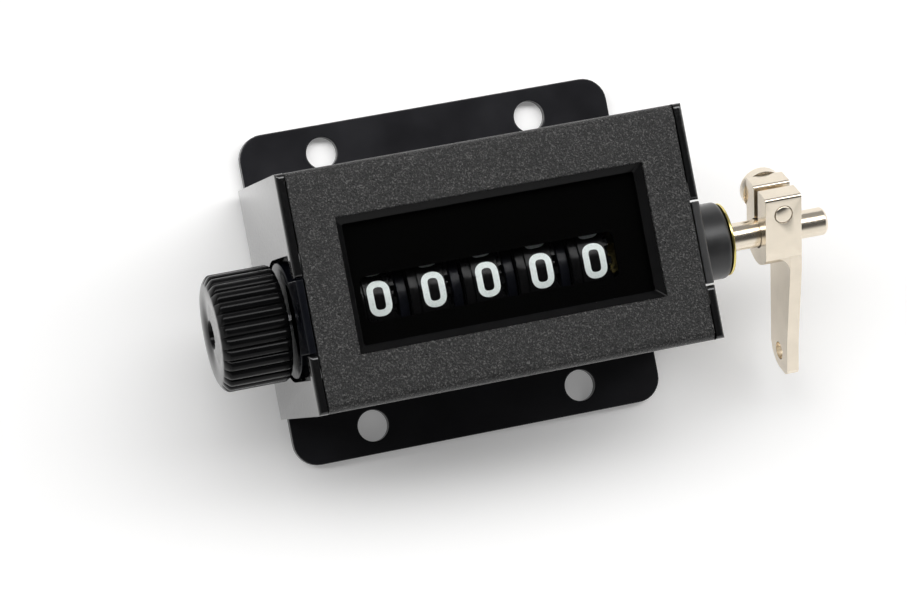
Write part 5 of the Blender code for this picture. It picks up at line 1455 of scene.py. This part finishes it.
class COUNTER_OT_mechanism(PieceOperator, bpy.types.Operator):
    """Finishes the rods, pins, pinions, ratchet and pawls inside the housing"""

    bl_idname = "counter.mechanism"
    bl_label = "Mechanism"

    def execute(self, context):
        finishes = context.scene.counter_finishes
        steel = ["carrier_rod", "tie_rod_1", "tie_rod_2", "pinion_shaft", "stop_pin_1", "stop_pin_2",
                 "holding_pawl_pin", "return_spring", "reset_shaft", "stack_spacer", "pawl_arm", "pawl_pin",
                 "drive_pawl", "holding_pawl"]
        refinish(steel, plain_steel(finishes))
        refinish([f"transfer_pinion_{number}" for number in range(1, 5)], black_moulding(finishes))
        refinish(["ratchet_wheel"], bright_brass(finishes))
        return {"FINISHED"}


def floor_material(stage):
    """Pale floor that shows the object's shadow, lifted to white for the camera and for reflections."""
    recipe = Recipe("studio_floor", stage.floor, 0.9, Specular_IOR_Level=0.0)
    lift = recipe.maths("MULTIPLY", recipe.seen("Camera", "Glossy", "Transmission"), stage.floor_lift)
    glow = recipe.add("ShaderNodeEmission", {"Strength": lift})
    both = recipe.add("ShaderNodeAddShader", {0: recipe.shader.outputs[0], 1: glow.outputs[0]})
    recipe.links.new(both.outputs[0], recipe.nodes["Material Output"].inputs["Surface"])
    return recipe.material


class COUNTER_OT_stage(bpy.types.Operator):
    """Makes the floor, the light and the camera"""

    bl_idname = "counter.stage"
    bl_label = "Stage"

    def execute(self, context):
        stage = context.scene.counter_stage
        self.make_floor(stage)
        self.make_sky(stage, context.scene)
        self.make_camera(stage, context.scene)
        return {"FINISHED"}

    def make_floor(self, stage):
        """Flat floor just below the base plate."""
        u = np.linspace(-stage.floor_half, stage.floor_half, 7)
        x, y = np.meshgrid(u, u, indexing="ij")
        z = np.full_like(x, CAD_BOUNDS[0][2] - stage.floor_gap)
        points, quads, _ = sheet(np.stack((x, y, z), axis=-1))
        mesh = bpy.data.meshes.new("floor")
        mesh.from_pydata(points.tolist(), [], quads.tolist())
        mesh.materials.append(floor_material(stage))
        floor = bpy.data.objects.new("floor", mesh)
        bpy.context.scene.collection.objects.link(floor)

    def make_sky(self, stage, scene):
        """Pale surroundings that are dark overhead, but for a soft box.

        A direction (x, y, z) meets the plane above at u = x / z, v = y / z. The box covers the strip there
        from its near to its far edge, for its length about its middle, turned by its bearing.
        """
        world = bpy.data.worlds.new("studio")
        scene.world = world
        sky = Wiring(world)
        direction = sky.add("ShaderNodeTexCoord").outputs["Generated"]
        x, y, z = sky.add("ShaderNodeSeparateXYZ", {0: direction}).outputs
        height = sky.maths("MAXIMUM", z, stage.sky_least)
        u, v = sky.maths("DIVIDE", x, height), sky.maths("DIVIDE", y, height)
        cosine, sine = math.cos(stage.box_turn), math.sin(stage.box_turn)
        along = sky.maths("MULTIPLY_ADD", u, cosine, sky.maths("MULTIPLY_ADD", v, sine, -stage.box_along))
        across = sky.maths("MULTIPLY_ADD", v, cosine, sky.maths("MULTIPLY", u, -sine))
        box = stage.box
        for place, edge, blur in ((sky.maths("ABSOLUTE", along), stage.box_length, stage.box_fall),
                                  (across, stage.box_near, -stage.box_near_blur),
                                  (across, stage.box_far, stage.box_far_blur)):
            box = sky.maths("MULTIPLY", box, sky.stepped(place, edge, blur))
        front = sky.stepped(y, -stage.sky_side, stage.sky_side)
        white = sky.maths("MULTIPLY", sky.seen("Glossy", "Transmission"), front)
        low = sky.maths("MAXIMUM", white, stage.sky_low)
        middle, blur = (stage.sky_edge + stage.sky_fade) / 2, (stage.sky_fade - stage.sky_edge) / 2
        left = sky.stepped(z, middle, blur)
        ring = sky.maths("MULTIPLY_ADD", left, sky.maths("SUBTRACT", low, stage.sky_high), stage.sky_high)
        light = sky.maths("MAXIMUM", sky.maths("ADD", ring, box), sky.seen("Camera"))
        sky.set(sky.nodes["Background"], {"Color": (1.0, 1.0, 1.0, 1.0), "Strength": light})

    def make_camera(self, stage, scene):
        """Camera on the axis through the aim, leaned and rolled."""
        lean, tip, roll = stage.lean, stage.tip, stage.roll
        back = Vector((-math.sin(lean) * math.cos(tip), -math.sin(tip), math.cos(lean) * math.cos(tip)))
        ahead = Vector((0.0, 1.0, 0.0))
        ahead = (ahead - back * ahead.dot(back)).normalized()
        aside = ahead.cross(back)
        up = ahead * math.cos(roll) + aside * math.sin(roll)
        right = up.cross(back)
        data = bpy.data.cameras.new("camera")
        data.lens = stage.focal
        data.clip_end = stage.clip
        camera = bpy.data.objects.new("camera", data)
        place = Vector((stage.aim_x, stage.aim_y, 0.0)) + back * stage.distance
        turned_to = Matrix((right, up, back)).transposed().to_4x4()
        camera.matrix_world = Matrix.Translation(place) @ turned_to
        scene.collection.objects.link(camera)
        scene.camera = camera
        scene.view_settings.view_transform = "Standard"


class COUNTER_PT_panel(bpy.types.Panel):
    """Panel with the counter's sizes, finishes and pieces"""

    bl_idname = "COUNTER_PT_panel"
    bl_label = "Counter"
    bl_space_type = "VIEW_3D"
    bl_region_type = "UI"
    bl_category = "Counter"

    def draw(self, context):
        for operator in OPERATORS:
            self.layout.operator(operator.bl_idname)
        for name in GROUPS:
            box = self.layout.box()
            group = getattr(context.scene, name)
            for prop in group.bl_rna.properties:
                if prop.identifier not in ("rna_type", "name"):
                    box.prop(group, prop.identifier)


OPERATORS = (
    COUNTER_OT_base_plate,
    COUNTER_OT_rivets,
    COUNTER_OT_end_frame,
    COUNTER_OT_cover,
    COUNTER_OT_window,
    COUNTER_OT_bearings,
    COUNTER_OT_number_wheels,
    COUNTER_OT_figures,
    COUNTER_OT_carriers,
    COUNTER_OT_knob,
    COUNTER_OT_drive_shaft,
    COUNTER_OT_lever,
    COUNTER_OT_clamp_screw,
    COUNTER_OT_mechanism,
    COUNTER_OT_stage,
)
GROUPS = {
    "counter_housing": HousingSizes,
    "counter_train": TrainSizes,
    "counter_handles": HandleSizes,
    "counter_finishes": Finishes,
    "counter_stage": Stage,
}


def register():
    """Registers the groups, operators and panel."""
    for name, group in GROUPS.items():
        bpy.utils.register_class(group)
        setattr(bpy.types.Scene, name, PointerProperty(type=group))
    for operator in OPERATORS:
        bpy.utils.register_class(operator)
    bpy.utils.register_class(COUNTER_PT_panel)


def unregister():
    """Takes back what register added."""
    bpy.utils.unregister_class(COUNTER_PT_panel)
    for operator in reversed(OPERATORS):
        bpy.utils.unregister_class(operator)
    for name, group in GROUPS.items():
        delattr(bpy.types.Scene, name)
        bpy.utils.unregister_class(group)


def main():
    """Makes every piece in order."""
    register()
    for operator in OPERATORS:
        group, name = operator.bl_idname.split(".")
        getattr(getattr(bpy.ops, group), name)()


if __name__ == "__main__":
    main()
